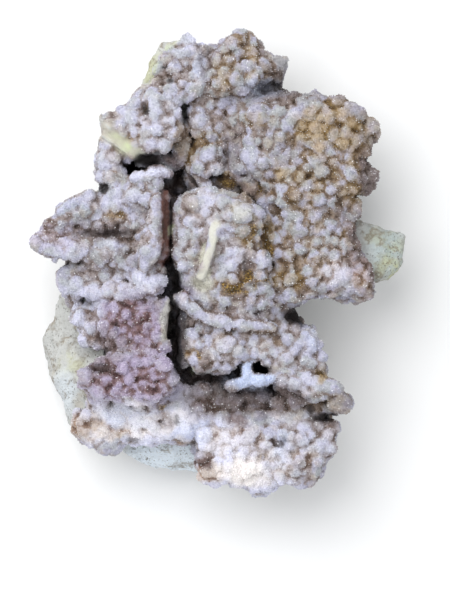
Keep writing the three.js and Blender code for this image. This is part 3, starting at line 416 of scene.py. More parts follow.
class DruseProperties(bpy.types.PropertyGroup):
    lump_small: length_setting("Smallest lump", "Radius of the druse's smallest lumps", 1.2, 0.5, 3)
    lump_large: length_setting("Largest lump", "Radius of the druse's largest lumps", 3.1, 1, 6)
    crowding: share_setting(
        "Crowding", "Distance between two lumps, as a share of their radii together", 0.62, 0.5, 1.2)
    proud: share_setting(
        "Proud", "How far a lump's middle is above its ground, as a share of its radius", 0.02, -0.5, 1.0)
    voxel: length_setting("Voxel", "Size of the grid that joins the lumps", 0.6, 0.3, 2)
    wander: length_setting("Wander", "How far the lumps are pulled out of round", 0.4, 0, 3)
    knob: length_setting("Knobs", "Height of the knobs on the lumps", 0.55, 0, 3)
    face_count: bpy.props.IntProperty(
        name="Faces", description="Number of triangles that the crust keeps", default=190000,
        min=10000, max=199000)
    grain: length_setting("Grain", "Height of the fine grain on the lumps", 0.16, 0, 1)
    sugar_count: bpy.props.IntProperty(
        name="Sugar crystals", description="Number of tiny crystals in each quarter of the sugar coat",
        default=45000, min=1000, max=49000)
    sugar_size: length_setting("Sugar size", "Mean width of a tiny crystal", 0.5, 0.1, 2)
    seed: bpy.props.IntProperty(
        name="Seed", description="Picks another arrangement of the lumps", default=7)
    crown: colour_setting("Crown", "Pale lilac of the lumps' tops", (0.52, 0.512, 0.63))
    crown_grey: colour_setting("Grey crown", "Grey-green of some lumps' tops", (0.43, 0.45, 0.43))
    crown_beige: colour_setting("Beige crown", "Beige of the stained lumps' tops", (0.475, 0.36, 0.225))
    body: colour_setting("Body", "Warm grey of the lumps' sides", (0.335, 0.272, 0.258))
    hollow: colour_setting("Hollow", "Grey-brown of the gaps between the lumps", (0.14, 0.095, 0.07))
    tan: colour_setting("Tan", "Ochre stain on the lumps' sides", (0.265, 0.172, 0.07))
    tan_hollow: colour_setting("Tan hollow", "Ochre stain in the gaps", (0.145, 0.083, 0.03))
    rust: colour_setting("Rust", "Reddish iron stain", (0.16, 0.075, 0.06))
    amethyst: colour_setting("Amethyst", "Purple of the western lobe's lumps", (0.265, 0.168, 0.178))
    amethyst_hollow: colour_setting(
        "Amethyst hollow", "Purple of the gaps on the western lobe", (0.095, 0.044, 0.05))
    amethyst_crown: colour_setting(
        "Amethyst crown", "Lilac of the tops on the western lobe", (0.485, 0.415, 0.56))
    cream: colour_setting("Cream", "Bare seams and rims", (0.70, 0.69, 0.59))
    lichen: colour_setting("Yellow-green", "Sulphur-coloured bloom", (0.58, 0.64, 0.40))
    smoky_and_shade: colour_setting("Smoky", "Brown-grey of the shadowed quartz", (0.14, 0.10, 0.09))
    smoky_and_shade_hollow: colour_setting("Smoky hollow", "Gaps in the shadowed quartz", (0.055, 0.034, 0.03))
    smoky_and_shade_crown: colour_setting("Smoky crown", "Tops in the shadowed quartz", (0.23, 0.18, 0.175))
    bright: colour_setting("Bright", "Tops of the palest quartz", (0.785, 0.79, 0.935))
    bright_body: colour_setting("Bright body", "Sides of the palest lumps", (0.61, 0.575, 0.63))
    bright_hollow: colour_setting("Bright hollow", "Gaps in the palest quartz", (0.41, 0.32, 0.30))
    gold: colour_setting("Gold", "Ochre-gold grains between the lumps", (0.46, 0.29, 0.06))


class RockProperties(bpy.types.PropertyGroup):
    voxel: length_setting("Voxel", "Size of the grid that the rock is remeshed on", 1.0, 0.5, 4)
    relief: length_setting("Relief", "Depth of the breaks and pits in the rock", 1.4, 0, 5)
    pale: colour_setting("Pale", "Main colour of the rock", (0.57, 0.575, 0.555))
    grey: colour_setting("Grey", "Grey mottling", (0.27, 0.28, 0.26))
    bloom: colour_setting("Bloom", "Yellow-green bloom", (0.52, 0.53, 0.30))
    blue: colour_setting("Blue", "Blue-white tint of the south toe", (0.80, 0.89, 0.98))
    teal: colour_setting("Teal", "Grey-green of the east shard", (0.39, 0.47, 0.46))


class StudioProperties(bpy.types.PropertyGroup):
    floor_size: bpy.props.FloatProperty(
        name="Floor", description="Width of the floor", default=6.0, min=0.5, max=20, unit="LENGTH")
    camera_height: bpy.props.FloatProperty(
        name="Camera height", description="Height of the camera over the floor", default=2.0,
        min=0.3, max=5, unit="LENGTH")
    key: bpy.props.FloatProperty(
        name="Key light", description="Power of the main light", default=12, min=0, max=200, unit="POWER")
    sky: bpy.props.FloatProperty(
        name="Sky", description="Strength of the even light from all around", default=0.68, min=0, max=5)


# Geometry in numbers

def vertices_of(mesh):
    """The mesh's vertices in millimetres."""
    flat = np.empty(len(mesh.vertices) * 3)
    mesh.vertices.foreach_get("co", flat)
    return flat.reshape(-1, 3) / MM


def normals_of(mesh):
    """The normals at the mesh's vertices."""
    flat = np.empty(len(mesh.vertices) * 3)
    mesh.vertex_normals.foreach_get("vector", flat)
    return flat.reshape(-1, 3)


def move_vertices(mesh, places):
    mesh.vertices.foreach_set("co", (places * MM).ravel())
    mesh.update()


def triangles_of(mesh):
    """The three vertices of each triangle of the mesh."""
    mesh.calc_loop_triangles()
    flat = np.empty(len(mesh.loop_triangles) * 3, dtype=np.int64)
    mesh.loop_triangles.foreach_get("vertices", flat)
    return flat.reshape(-1, 3)


def store(mesh, name, values):
    """Keeps one number for each vertex of the mesh, for the material to read."""
    attribute = mesh.attributes.new(name, "FLOAT", "POINT")
    attribute.data.foreach_set("value", np.asarray(values, dtype=np.float32))


def stored_in(mesh):
    """All that store has kept on the mesh, by name."""
    kept = {}
    for attribute in mesh.attributes:
        if attribute.data_type == "FLOAT" and attribute.domain == "POINT":
            kept[attribute.name] = np.empty(len(attribute.data), dtype=np.float32)
            attribute.data.foreach_get("value", kept[attribute.name])
    return kept


def unit(vectors):
    """The vectors, each made 1 long."""
    return vectors / np.linalg.norm(vectors, axis=1)[:, None]


def columns_of(lumps):
    """Places, radii, normals, buds and groups of the lumps."""
    return [np.array(column) for column in zip(*lumps)]


def smoothstep(low, high, values):
    share = np.clip((values - low) / (high - low), 0, 1)
    return share * share * (3 - 2 * share)


def noise_at(places, size, offset=0.0):
    """Smooth noise from about -1 to 1 whose features are so many millimetres wide."""
    shift = Vector((offset, -offset, 2 * offset))
    return np.array([noise.noise(Vector(place) / size + shift) for place in places])


def noise_layers(places, layers, shape=np.positive):
    """The sum of some layers of noise, each first given its shape, such as ridges by np.abs."""
    return sum(shape(noise_at(places, size, offset)) * strength for size, offset, strength in layers)


def wandered(places, size, reach):
    """The places moved about by smooth noise, up to a reach in millimetres."""
    moves = [noise_at(places, size, offset) for offset in (11.0, 23.0, 37.0)]
    return places + reach * np.stack(moves, axis=1)


def bed_at(places):
    """How far the seam between crust and rock rises and falls, in millimetres."""
    return noise_at(places * (1, 1, 0), BED_HILL, 2.0) * BED_RISE


def warp_at(places):
    """How far the edges of the spots wander, in millimetres along x and y."""
    return noise_at(places, EDGE_WAVE, 3.3) * EDGE_REACH, noise_at(places, EDGE_WAVE, 9.1) * EDGE_REACH


def steps_at(places, size, sharp):
    """Flat flakes so many millimetres wide, each at its own depth, with soft steps between them."""
    depths = []
    for place in places:
        far, middles = noise.voronoi(Vector(place) / size)
        first, second = (noise.cell(middle * 7.3) for middle in middles[:2])
        share = min(1.0, (far[1] - far[0]) / sharp)
        depths.append(first * (0.5 + share / 2) + second * (0.5 - share / 2))
    return np.array(depths)


def spots_at(places, spots, warp=(0, 0)):
    """How strongly each place is in one of the spots, from 0 to 1, with soft edges."""
    x = places[:, 0] + warp[0]
    y = places[:, 1] + warp[1]
    strength = np.zeros(len(places))
    for sx, sy, rx, ry, most in spots:
        far = np.sqrt(((x - sx) / rx) ** 2 + ((y - sy) / ry) ** 2)
        strength = np.maximum(strength, most * smoothstep(1.45, 0.55, far))
    return strength


def store_spots(mesh, places, warp, table):
    for name, spots in table.items():
        store(mesh, name, spots_at(places, spots, warp))


def sample_surface(mesh, count, random):
    """Random places on the mesh, spread evenly by area, with the surface's normals there."""
    places = vertices_of(mesh)
    corners = places[triangles_of(mesh)]
    cross = np.cross(corners[:, 1] - corners[:, 0], corners[:, 2] - corners[:, 0])
    area = np.linalg.norm(cross, axis=1)
    chosen = random.choice(len(area), count, p=area / area.sum())
    u, v = random.random(count), random.random(count)
    over = u + v > 1
    u[over], v[over] = 1 - u[over], 1 - v[over]
    first, second, third = corners[chosen].transpose(1, 0, 2)
    points = first + u[:, None] * (second - first) + v[:, None] * (third - first)
    return points, cross[chosen] / area[chosen][:, None]


def pack_lumps(points, radii, crowding, standing):
    """Indices of the lumps that keep their distance from all larger lumps and from those standing."""
    cell = 2 * max(radii.max(), max(radius for _, radius in standing)) * crowding
    taken = {}
    for place, radius in standing:
        taken.setdefault(tuple((place // cell).astype(int)), []).append((place, radius))
    kept = []
    for i in np.argsort(-radii, kind="stable"):
        place, radius = points[i], radii[i]
        home = tuple((place // cell).astype(int))
        if not is_crowded(place, radius, home, taken, crowding):
            taken.setdefault(home, []).append((place, radius))
            kept.append(i)
    return np.array(kept)


def is_crowded(place, radius, home, taken, crowding):
    for dx in (-1, 0, 1):
        for dy in (-1, 0, 1):
            for dz in (-1, 0, 1):
                for other, other_radius in taken.get((home[0] + dx, home[1] + dy, home[2] + dz), ()):
                    gap = place - other
                    if gap @ gap < ((radius + other_radius) * crowding) ** 2:
                        return True
    return False


def smoothed(mesh, values, rounds):
    """Values of the vertices, evened out over their neighbours in so many rounds."""
    ends = np.empty(len(mesh.edges) * 2, dtype=np.int64)
    mesh.edges.foreach_get("vertices", ends)
    first, second = ends.reshape(-1, 2).T
    columns = values.reshape(len(values), -1).T.copy()
    count = np.bincount(ends, minlength=len(values))
    for _ in range(rounds):
        for column in columns:
            forth = np.bincount(first, column[second], len(values))
            back = np.bincount(second, column[first], len(values))
            column += (forth + back) / count
            column /= 2
    return columns.T.reshape(values.shape)


def relief_of(mesh, rounds):
    """How far each vertex stands out of the evened surface, as a share of the usual distance."""
    places = vertices_of(mesh)
    relief = ((places - smoothed(mesh, places, rounds)) * normals_of(mesh)).sum(axis=1)
    return relief / relief.std()


def tree_of(points):
    """The points, ready for the question which of them are nearest to a place."""
    tree = KDTree(len(points))
    for i, point in enumerate(points):
        tree.insert(point, i)
    tree.balance()
    return tree


def ray_tree(mesh):
    """The mesh in millimetres, ready to be met by rays."""
    return BVHTree.FromPolygons(
        [vertex.co / MM for vertex in mesh.vertices], [tuple(face.vertices) for face in mesh.polygons])


def ground_under(tree, x, y):
    """The place straight under a point over the cluster, and the ground's normal there."""
    place, normal, _, _ = tree.ray_cast(Vector((x, y, ABOVE_ALL)), DOWN)
    return place, normal


def openness_of(mesh):
    """How much of the sky each vertex sees, from 0 in a crevice to 1 in the open."""
    tree = ray_tree(mesh)
    rays = sky_rays()
    places, normals = vertices_of(mesh), normals_of(mesh)
    seen = np.zeros(len(places))
    for i, (place, normal) in enumerate(zip(places, normals)):
        start = Vector(place + normal * OPEN_START)
        free = sum(tree.ray_cast(start, ray, OPEN_REACH)[0] is None for ray in rays)
        seen[i] = free / len(rays)
    return seen


def sky_rays():
    rays = []
    for elevation, count in SKY_RINGS:
        flat, rise = math.cos(math.radians(elevation)), math.sin(math.radians(elevation))
        for step in range(count):
            turn = 2 * math.pi * (step + elevation / 90) / count
            rays.append(Vector((flat * math.cos(turn), flat * math.sin(turn), rise)))
    return rays


# Objects

def pick(obj):
    """Makes this the one object that is selected and active."""
    bpy.ops.object.select_all(action="DESELECT")
    obj.select_set(True)
    bpy.context.view_layer.objects.active = obj


def copy_of_node(node, name):
    """A new object with a merged copy of a CAD node's mesh."""
    obj = bpy.data.objects.new(name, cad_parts[node].data.copy())
    bpy.context.scene.collection.objects.link(obj)
    obj.data.materials.clear()
    obj.data.name = name
    pick(obj)
    bpy.ops.object.mode_set(mode="EDIT")
    bpy.ops.mesh.select_all(action="SELECT")
    bpy.ops.mesh.remove_doubles(threshold=0.01 * MM)
    bpy.ops.object.mode_set(mode="OBJECT")
    return obj


def apply_modifier(obj, kind, **settings):
    """Adds a modifier with these settings and applies it."""
    pick(obj)
    modifier = obj.modifiers.new(kind.title(), kind)
    for key, value in settings.items():
        setattr(modifier, key, value)
    bpy.ops.object.modifier_apply(modifier=modifier.name)


def join_into(obj, others):
    pick(obj)
    for other in others:
        other.select_set(True)
    bpy.ops.object.join()


def mesh_object(name, places, faces):
    mesh = bpy.data.meshes.new(name)
    mesh.from_pydata((places * MM).tolist(), [], faces.tolist())
    obj = bpy.data.objects.new(name, mesh)
    bpy.context.scene.collection.objects.link(obj)
    return obj


def unit_ball(subdivisions):
    """Places and faces of a ball of radius 1, from Blender's own icosphere."""
    bpy.ops.mesh.primitive_ico_sphere_add(subdivisions=subdivisions, radius=1)
    ball = bpy.context.object
    places = vertices_of(ball.data) * MM
    faces = triangles_of(ball.data)
    bpy.data.objects.remove(ball)
    return places, faces


def finish_piece(obj, node, material, smooth):
    """Gives a piece its material and its body, and hides the CAD node whose place it takes, if any."""
    obj.data.materials.clear()
    obj.data.materials.append(material)
    pick(obj)
    if smooth:
        bpy.ops.object.shade_smooth()
    else:
        bpy.ops.object.shade_flat()
    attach(obj, "root")
    if node:
        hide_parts(node)


# Shaders

class Socket:
    """A shader socket that takes part in sums and products."""

    def __init__(self, shader, output):
        self.shader = shader
        self.output = output

    def __add__(self, other):
        return self.shader.maths("ADD", self, other)

    def __radd__(self, other):
        return self.shader.maths("ADD", other, self)

    def __sub__(self, other):
        return self.shader.maths("SUBTRACT", self, other)

    def __rsub__(self, other):
        return self.shader.maths("SUBTRACT", other, self)

    def __mul__(self, other):
        return self.shader.maths("MULTIPLY", self, other)

    def __rmul__(self, other):
        return self.shader.maths("MULTIPLY", other, self)

    def clamped(self):
        result = self.shader.maths("ADD", self, 0.0)
        result.output.node.use_clamp = True
        return result

    def step(self, low, high):
        """0 below low, 1 above high, and a smooth rise between them."""
        return self.shader.node(
            "ShaderNodeMapRange", {"interpolation_type": "SMOOTHSTEP"},
            {"Value": self, "From Min": low, "From Max": high}, "Result")


class Shader:
    """Builds one material's nodes."""

    def __init__(self, name):
        self.material = bpy.data.materials.new(name)
        self.material.use_nodes = True
        self.tree = self.material.node_tree
        self.surface = next(n for n in self.tree.nodes if n.bl_idname == "ShaderNodeBsdfPrincipled")

    def node(self, kind, settings, inputs, output):
        node = self.tree.nodes.new(kind)
        for key, value in settings.items():
            setattr(node, key, value)
        for key, value in inputs.items():
            self.feed(node.inputs[key], value)
        return Socket(self, node.outputs[output])

    def feed(self, entry, value):
        if isinstance(value, Socket):
            self.tree.links.new(value.output, entry)
        elif hasattr(value, "__len__") and entry.type == "RGBA" and len(value) == 3:
            entry.default_value = (*value, 1)
        else:
            entry.default_value = value

    def maths(self, operation, *values):
        return self.node("ShaderNodeMath", {"operation": operation}, dict(enumerate(values)), 0)

    def mix(self, factor, first, second):
        """Mixes two colours: the first where factor is 0, the second where it is 1."""
        return self.node("ShaderNodeMix", {"data_type": "RGBA"}, {0: factor, 6: first, 7: second}, 2)

    def stored(self, name):
        return self.node("ShaderNodeAttribute", {"attribute_name": name}, {}, "Fac")

    def place(self):
        return self.node("ShaderNodeTexCoord", {}, {}, "Object")

    def noise(self, size, detail=2.0, roughness=0.5, offset=None):
        place = self.place()
        if offset:
            place = self.node("ShaderNodeVectorMath", {"operation": "ADD"}, {0: place, 1: offset}, 0)
        inputs = {"Vector": place, "Scale": 1 / size, "Detail": detail, "Roughness": roughness}
        return self.node("ShaderNodeTexNoise", {}, inputs, "Fac")

    def cells(self, size, output):
        inputs = {"Vector": self.place(), "Scale": 1 / size}
        return self.node("ShaderNodeTexVoronoi", {"feature": "F1"}, inputs, output)

    def bump(self, height, distance, strength):
        inputs = {"Height": height, "Distance": distance, "Strength": strength}
        return self.node("ShaderNodeBump", {}, inputs, "Normal")

    def finish(self, **inputs):
        """Feeds the surface's own sockets and returns the material."""
        for key, value in inputs.items():
            self.feed(self.surface.inputs[key.replace("_", " ")], value)
        return self.material


# Colours within the materials.
PEACH_HOLLOW = (0.20, 0.10, 0.055)
PEACH_BODY = (0.44, 0.29, 0.20)
PEACH_CROWN = (0.68, 0.59, 0.54)
CREASE_SHADE = (0.07, 0.042, 0.032)
CHALK_WHITE_AND_HIGHLIGHT = (1.0, 0.95, 0.93)
ORE_BROWN = (0.10, 0.055, 0.015)
COOL_BLUE = (0.64, 0.73, 0.95)
SHADE_BROWN = (0.012, 0.008, 0.008)
DEEP_SHADE = (0.008, 0.005, 0.005)
SUGAR_SHADE = (0.05, 0.04, 0.04)
SUGAR_GLINT = (0.95, 0.95, 0.97)
CLAY_BROWN = (0.50, 0.44, 0.34)
TEAL_YELLOW = (0.50, 0.55, 0.38)
CHIP_GREY = (0.70, 0.70, 0.65)
SEAM_BROWN = (0.20, 0.15, 0.09)
SPECK_BLACK = (0.14, 0.13, 0.11)
PIT_SHADE = (0.08, 0.06, 0.05)
FLOOR_WHITE = (0.93, 0.93, 0.93)
QUARTZ_IOR = 1.54


class QuartzShader(Shader):
    """Milky quartz: pale crowns, warm hollows, stains where the mesh says so, and painted light and shade.
    """

    def __init__(self, name, druse):
        super().__init__(name)
        self.druse = druse
        self.tone = self.stored("tone")
        self.mottle = self.noise(2.4 * MM, 3)
        self.speck = self.noise(0.6 * MM, 2, 0.6)
        self.wide = self.noise(8 * MM, 2, 0.5, (5.1, 0.7, 2.4))
        self.height = self.height_on_lump()
        self.shade = (1 - self.stored("open").step(0.08, 0.55)) * (1 - self.stored("rust") * 0.75)

    def height_on_lump(self):
        """About 0 in the gaps and 1 on the tops, higher or lower from lump to lump and spot to spot."""
        height = self.stored("tip") * 0.64 + self.stored("crown") * 0.22 + self.stored("swell") * 0.3
        height = height + (self.mottle - 0.5) * 0.4 + (self.speck - 0.5) * 0.25
        height = height + (self.tone - 0.5) * 0.6 + (self.wide - 0.5) * 0.8
        return height - 0.12 - self.stored("seam") * 0.12

    # Partly the quartz's own colour, partly painted: painted shade in the gaps and painted light on the
    # tops.
    def ramp(self, hollow, body, crown):
        """One colour in the gaps, the next on the lumps' sides and the last on their tops."""
        lower = self.mix(self.height.step(0.0, 0.42), hollow, body)
        return self.mix(self.height.step(0.32, 0.84), lower, crown)

    def crowns(self):
        """Lilac tops, with grey and beige ones among them."""
        cool = self.noise(4.5 * MM, 2, 0.5, (7.7, 3.1, 9.2)).step(0.4, 0.62)
        warm = self.noise(5.5 * MM, 2, 0.5, (3.1, 1.7, 0.4)) + (0.5 - self.tone) * 0.2
        crown = self.mix(cool * 0.7, self.druse.crown, self.druse.crown_grey)
        return self.mix(warm.step(0.46, 0.66) * 0.45, crown, self.druse.crown_beige)

    def ochre(self, crown):
        """Ochre stain, which is peach on the palest quartz and the painted light."""
        druse = self.druse
        stained = self.stored("tan").step(0.3, 1.0) * 0.8
        stained = (stained + (self.wide - 0.5) * 1.1 + (0.5 - self.tone) * 0.3).clamped()
        ochre = self.ramp(druse.tan_hollow, druse.tan, self.mix(stained, crown, druse.crown_beige))
        peach = self.ramp(PEACH_HOLLOW, PEACH_BODY, PEACH_CROWN)
        return self.mix(self.stored("bright").step(0.2, 0.8), ochre, peach)

    def stained(self):
        """The quartz with its stains, and its palest and brown-grey parts, which are partly painted light
        and painted shade.
        """
        druse = self.druse
        crown = self.crowns()
        colour = self.ramp(druse.hollow, druse.body, crown)
        # The palest quartz, partly painted light.
        light = self.ramp(druse.bright_hollow, druse.bright_body, druse.bright)
        colour = self.mix(self.stored("bright") * 0.9, colour, light)
        purple = self.ramp(druse.amethyst_hollow, druse.amethyst, druse.amethyst_crown)
        # Brown-grey quartz, partly painted shade where it lies in shadow.
        smoke_and_shade = self.ramp(druse.smoky_and_shade_hollow, druse.smoky_and_shade, druse.smoky_and_shade_crown)
        tints = (("tan", self.ochre(crown), 1.4), ("amethyst", purple, 1.3), ("smoky_and_shade", smoke_and_shade, 1.2))
        for spot, tint, most in tints:
            patch = self.stored(spot) * (self.mottle * 0.8 + self.wide * 0.4 + (1 - self.tone) * 0.5) * most
            colour = self.mix(patch.clamped(), colour, tint)
        rust = self.stored("rust") * (self.mottle.step(0.3, 0.6) * 0.5 + self.stored("bare") * 0.7)
        return self.mix(rust.clamped(), colour, druse.rust)

    def colour(self):
        """The stained quartz with painted shade in its creases, chalky tops and a painted highlight, rims,
        bloom, golden grains and painted shade.
        """
        druse = self.druse
        # Painted shade in the creases and along the seams between the lumps.
        crease_shade = self.stored("crease") + self.stored("seam") * self.mottle.step(0.42, 0.68) * 0.3
        crease_shade = crease_shade * (1 - self.stored("bright") * 0.5)
        colour = self.mix(crease_shade.clamped() * 0.42, self.stained(), CREASE_SHADE)
        # Chalk-white tops, and a painted highlight at the southern end.
        chalk_and_highlight = self.stored("white") * self.height.step(-0.2, 0.25) * 0.97
        colour = self.mix(chalk_and_highlight, colour, CHALK_WHITE_AND_HIGHLIGHT)
        colour = self.mix(self.stored("cream") * 0.85, colour, druse.cream)
        bloom = self.stored("lichen") * (self.mottle * 1.8)
        colour = self.mix(bloom.clamped(), colour, druse.lichen)
        ore = self.stored("gold") * (1 - self.height.step(0.65, 1.05))
        grains = self.mix(self.speck.step(0.45, 0.6), ORE_BROWN, druse.gold)
        colour = self.mix(ore * 0.9, colour, grains)
        cool = self.stored("cool") * (self.height.step(0.0, 0.6) * 0.6 + 0.2)
        colour = self.mix(cool, colour, COOL_BLUE)
        # Painted shade where little of the sky is seen, and darker painted shade in the deepest hollows.
        colour = self.mix(self.shade, colour, SHADE_BROWN)
        return self.mix(self.stored("deep") * 0.96, colour, DEEP_SHADE)


def crust_material(druse):
    """Quartz whose surface is all fine facets, with a little light from within."""
    quartz = QuartzShader("quartz", druse)
    fine = quartz.noise(0.3 * MM, 2, 0.6)
    facets = quartz.cells(0.42 * MM, "Distance")
    bump = quartz.bump(facets + fine * 0.5, 0.3 * MM, 0.8)
    glint = quartz.cells(0.5 * MM, "Color")
    glint = quartz.node("ShaderNodeSeparateColor", {}, {"Color": glint}, "Red")
    rough = 0.62 - glint.step(0.55, 0.95) * 0.3
    return quartz.finish(
        Base_Color=quartz.colour(), Roughness=rough, Normal=bump, IOR=QUARTZ_IOR, Specular_IOR_Level=0.35,
        Subsurface_Weight=0.12, Subsurface_Radius=(0.9, 0.8, 0.9), Subsurface_Scale=1.2 * MM)


def sugar_material(name, druse):
    """The same quartz in tiny crystals: half of them darker, the rest glossier and a few painted nearly
    white as glints.
    """
    quartz = QuartzShader(name, druse)
    glint = quartz.stored("glint")
    dark = (1 - glint.step(0.0, 0.5)) * (0.45 - quartz.height.step(0.3, 0.8) * 0.3)
    colour = quartz.mix(dark, quartz.colour(), SUGAR_SHADE)
    colour = quartz.mix(glint.step(0.9, 1.0) * (1 - quartz.shade) * 0.85, colour, SUGAR_GLINT)
    rough = 0.6 - glint.step(0.5, 1.0) * 0.5
    return quartz.finish(Base_Color=colour, Roughness=rough, IOR=QUARTZ_IOR)


def rock_material(rock):
    """Altered pale host rock: mottled grey-green, with bloom, blue patches, brown seams and specks."""
    shader = Shader("host_rock")
    mottle = shader.noise(9 * MM, 4, 0.6)
    fine = shader.noise(1.8 * MM, 5, 0.68, (1.3, 4.2, 2.2))
    blotch = shader.noise(4.5 * MM, 3, 0.55, (2.1, 7.4, 3.3))
    speck = shader.noise(0.8 * MM, 2, 0.6, (6.3, 2.2, 5.2))
    seam = shader.noise(13 * MM, 4, 0.6, (4.4, 1.2, 8.5))
    grey = mottle.step(0.5, 0.72) * 0.5 + (fine - 0.46) * 1.5
    colour = shader.mix(grey.clamped(), rock.pale, rock.grey)
    colour = shader.mix(blotch.step(0.55, 0.7) * 0.4, colour, CLAY_BROWN)
    teal = shader.mix(blotch.step(0.42, 0.62) * 0.6, rock.teal, TEAL_YELLOW)
    colour = shader.mix(shader.stored("teal") * 0.75, colour, teal)
    colour = shader.mix(shader.stored("bloom") * blotch.step(0.3, 0.55), colour, rock.bloom)
    colour = shader.mix(shader.stored("blue") * fine.step(0.1, 0.5) * 0.9, colour, rock.blue)
    colour = shader.mix(fine.step(0.55, 0.66) * 0.45, colour, CHIP_GREY)
    thin = 1 - shader.maths("ABSOLUTE", (seam - 0.5) * 22).clamped()
    colour = shader.mix(thin * blotch.step(0.4, 0.6) * 0.7, colour, SEAM_BROWN)
    specks = speck.step(0.56, 0.68) * mottle.step(0.34, 0.54)
    colour = shader.mix(specks * 0.85, colour, SPECK_BLACK)
    # Painted shade in the pits, where little of the sky is seen.
    colour = shader.mix(1 - shader.stored("open").step(0.0, 0.4), colour, PIT_SHADE)
    bump = shader.bump(fine + speck * 0.5, 0.9 * MM, 0.9)
    rough = 0.72 + (fine - 0.5) * 0.3
    return shader.finish(Base_Color=colour, Roughness=rough, Normal=bump)


# Pieces

class CLUSTER_OT_rock(bpy.types.Operator):
    """Build the host rock"""
    bl_idname = "cluster.rock"
    bl_label = "Host rock"

    def execute(self, context):
        rock = context.scene.cluster_rock
        obj = copy_of_node("host_rock", "rock")
        apply_modifier(obj, "REMESH", mode="VOXEL", voxel_size=rock.voxel)
        places = self.broken(vertices_of(obj.data), normals_of(obj.data), rock.relief)
        move_vertices(obj.data, places)
        store_spots(obj.data, places, warp_at(places), ROCK_SPOTS)
        store(obj.data, "open", openness_of(obj.data))
        finish_piece(obj, "host_rock", rock_material(rock), smooth=True)
        return {"FINISHED"}

    def broken(self, places, normals, relief):
        """Ridges, flakes and grain above the flat base, and a seam to the crust that rises and falls."""
        ridges = noise_layers(places, ROCK_RIDGES, np.abs)
        flakes = steps_at(places, 11, 0.9) + 0.5 * steps_at(places, 4.5, 0.5)
        grain = noise_layers(places, ROCK_GRAIN)
        depth = (ridges + flakes * 0.7 - 0.3) * relief / MM - grain
        above_base = smoothstep(*ROCK_RELIEF_FROM, places[:, 2])
        near_seam = smoothstep(*ROCK_SEAM_FROM, places[:, 2])
        places = places - normals * (depth * above_base)[:, None]
        places[:, 2] += bed_at(places) * near_seam
        places[:, 2] = np.maximum(places[:, 2], 0)
        return places


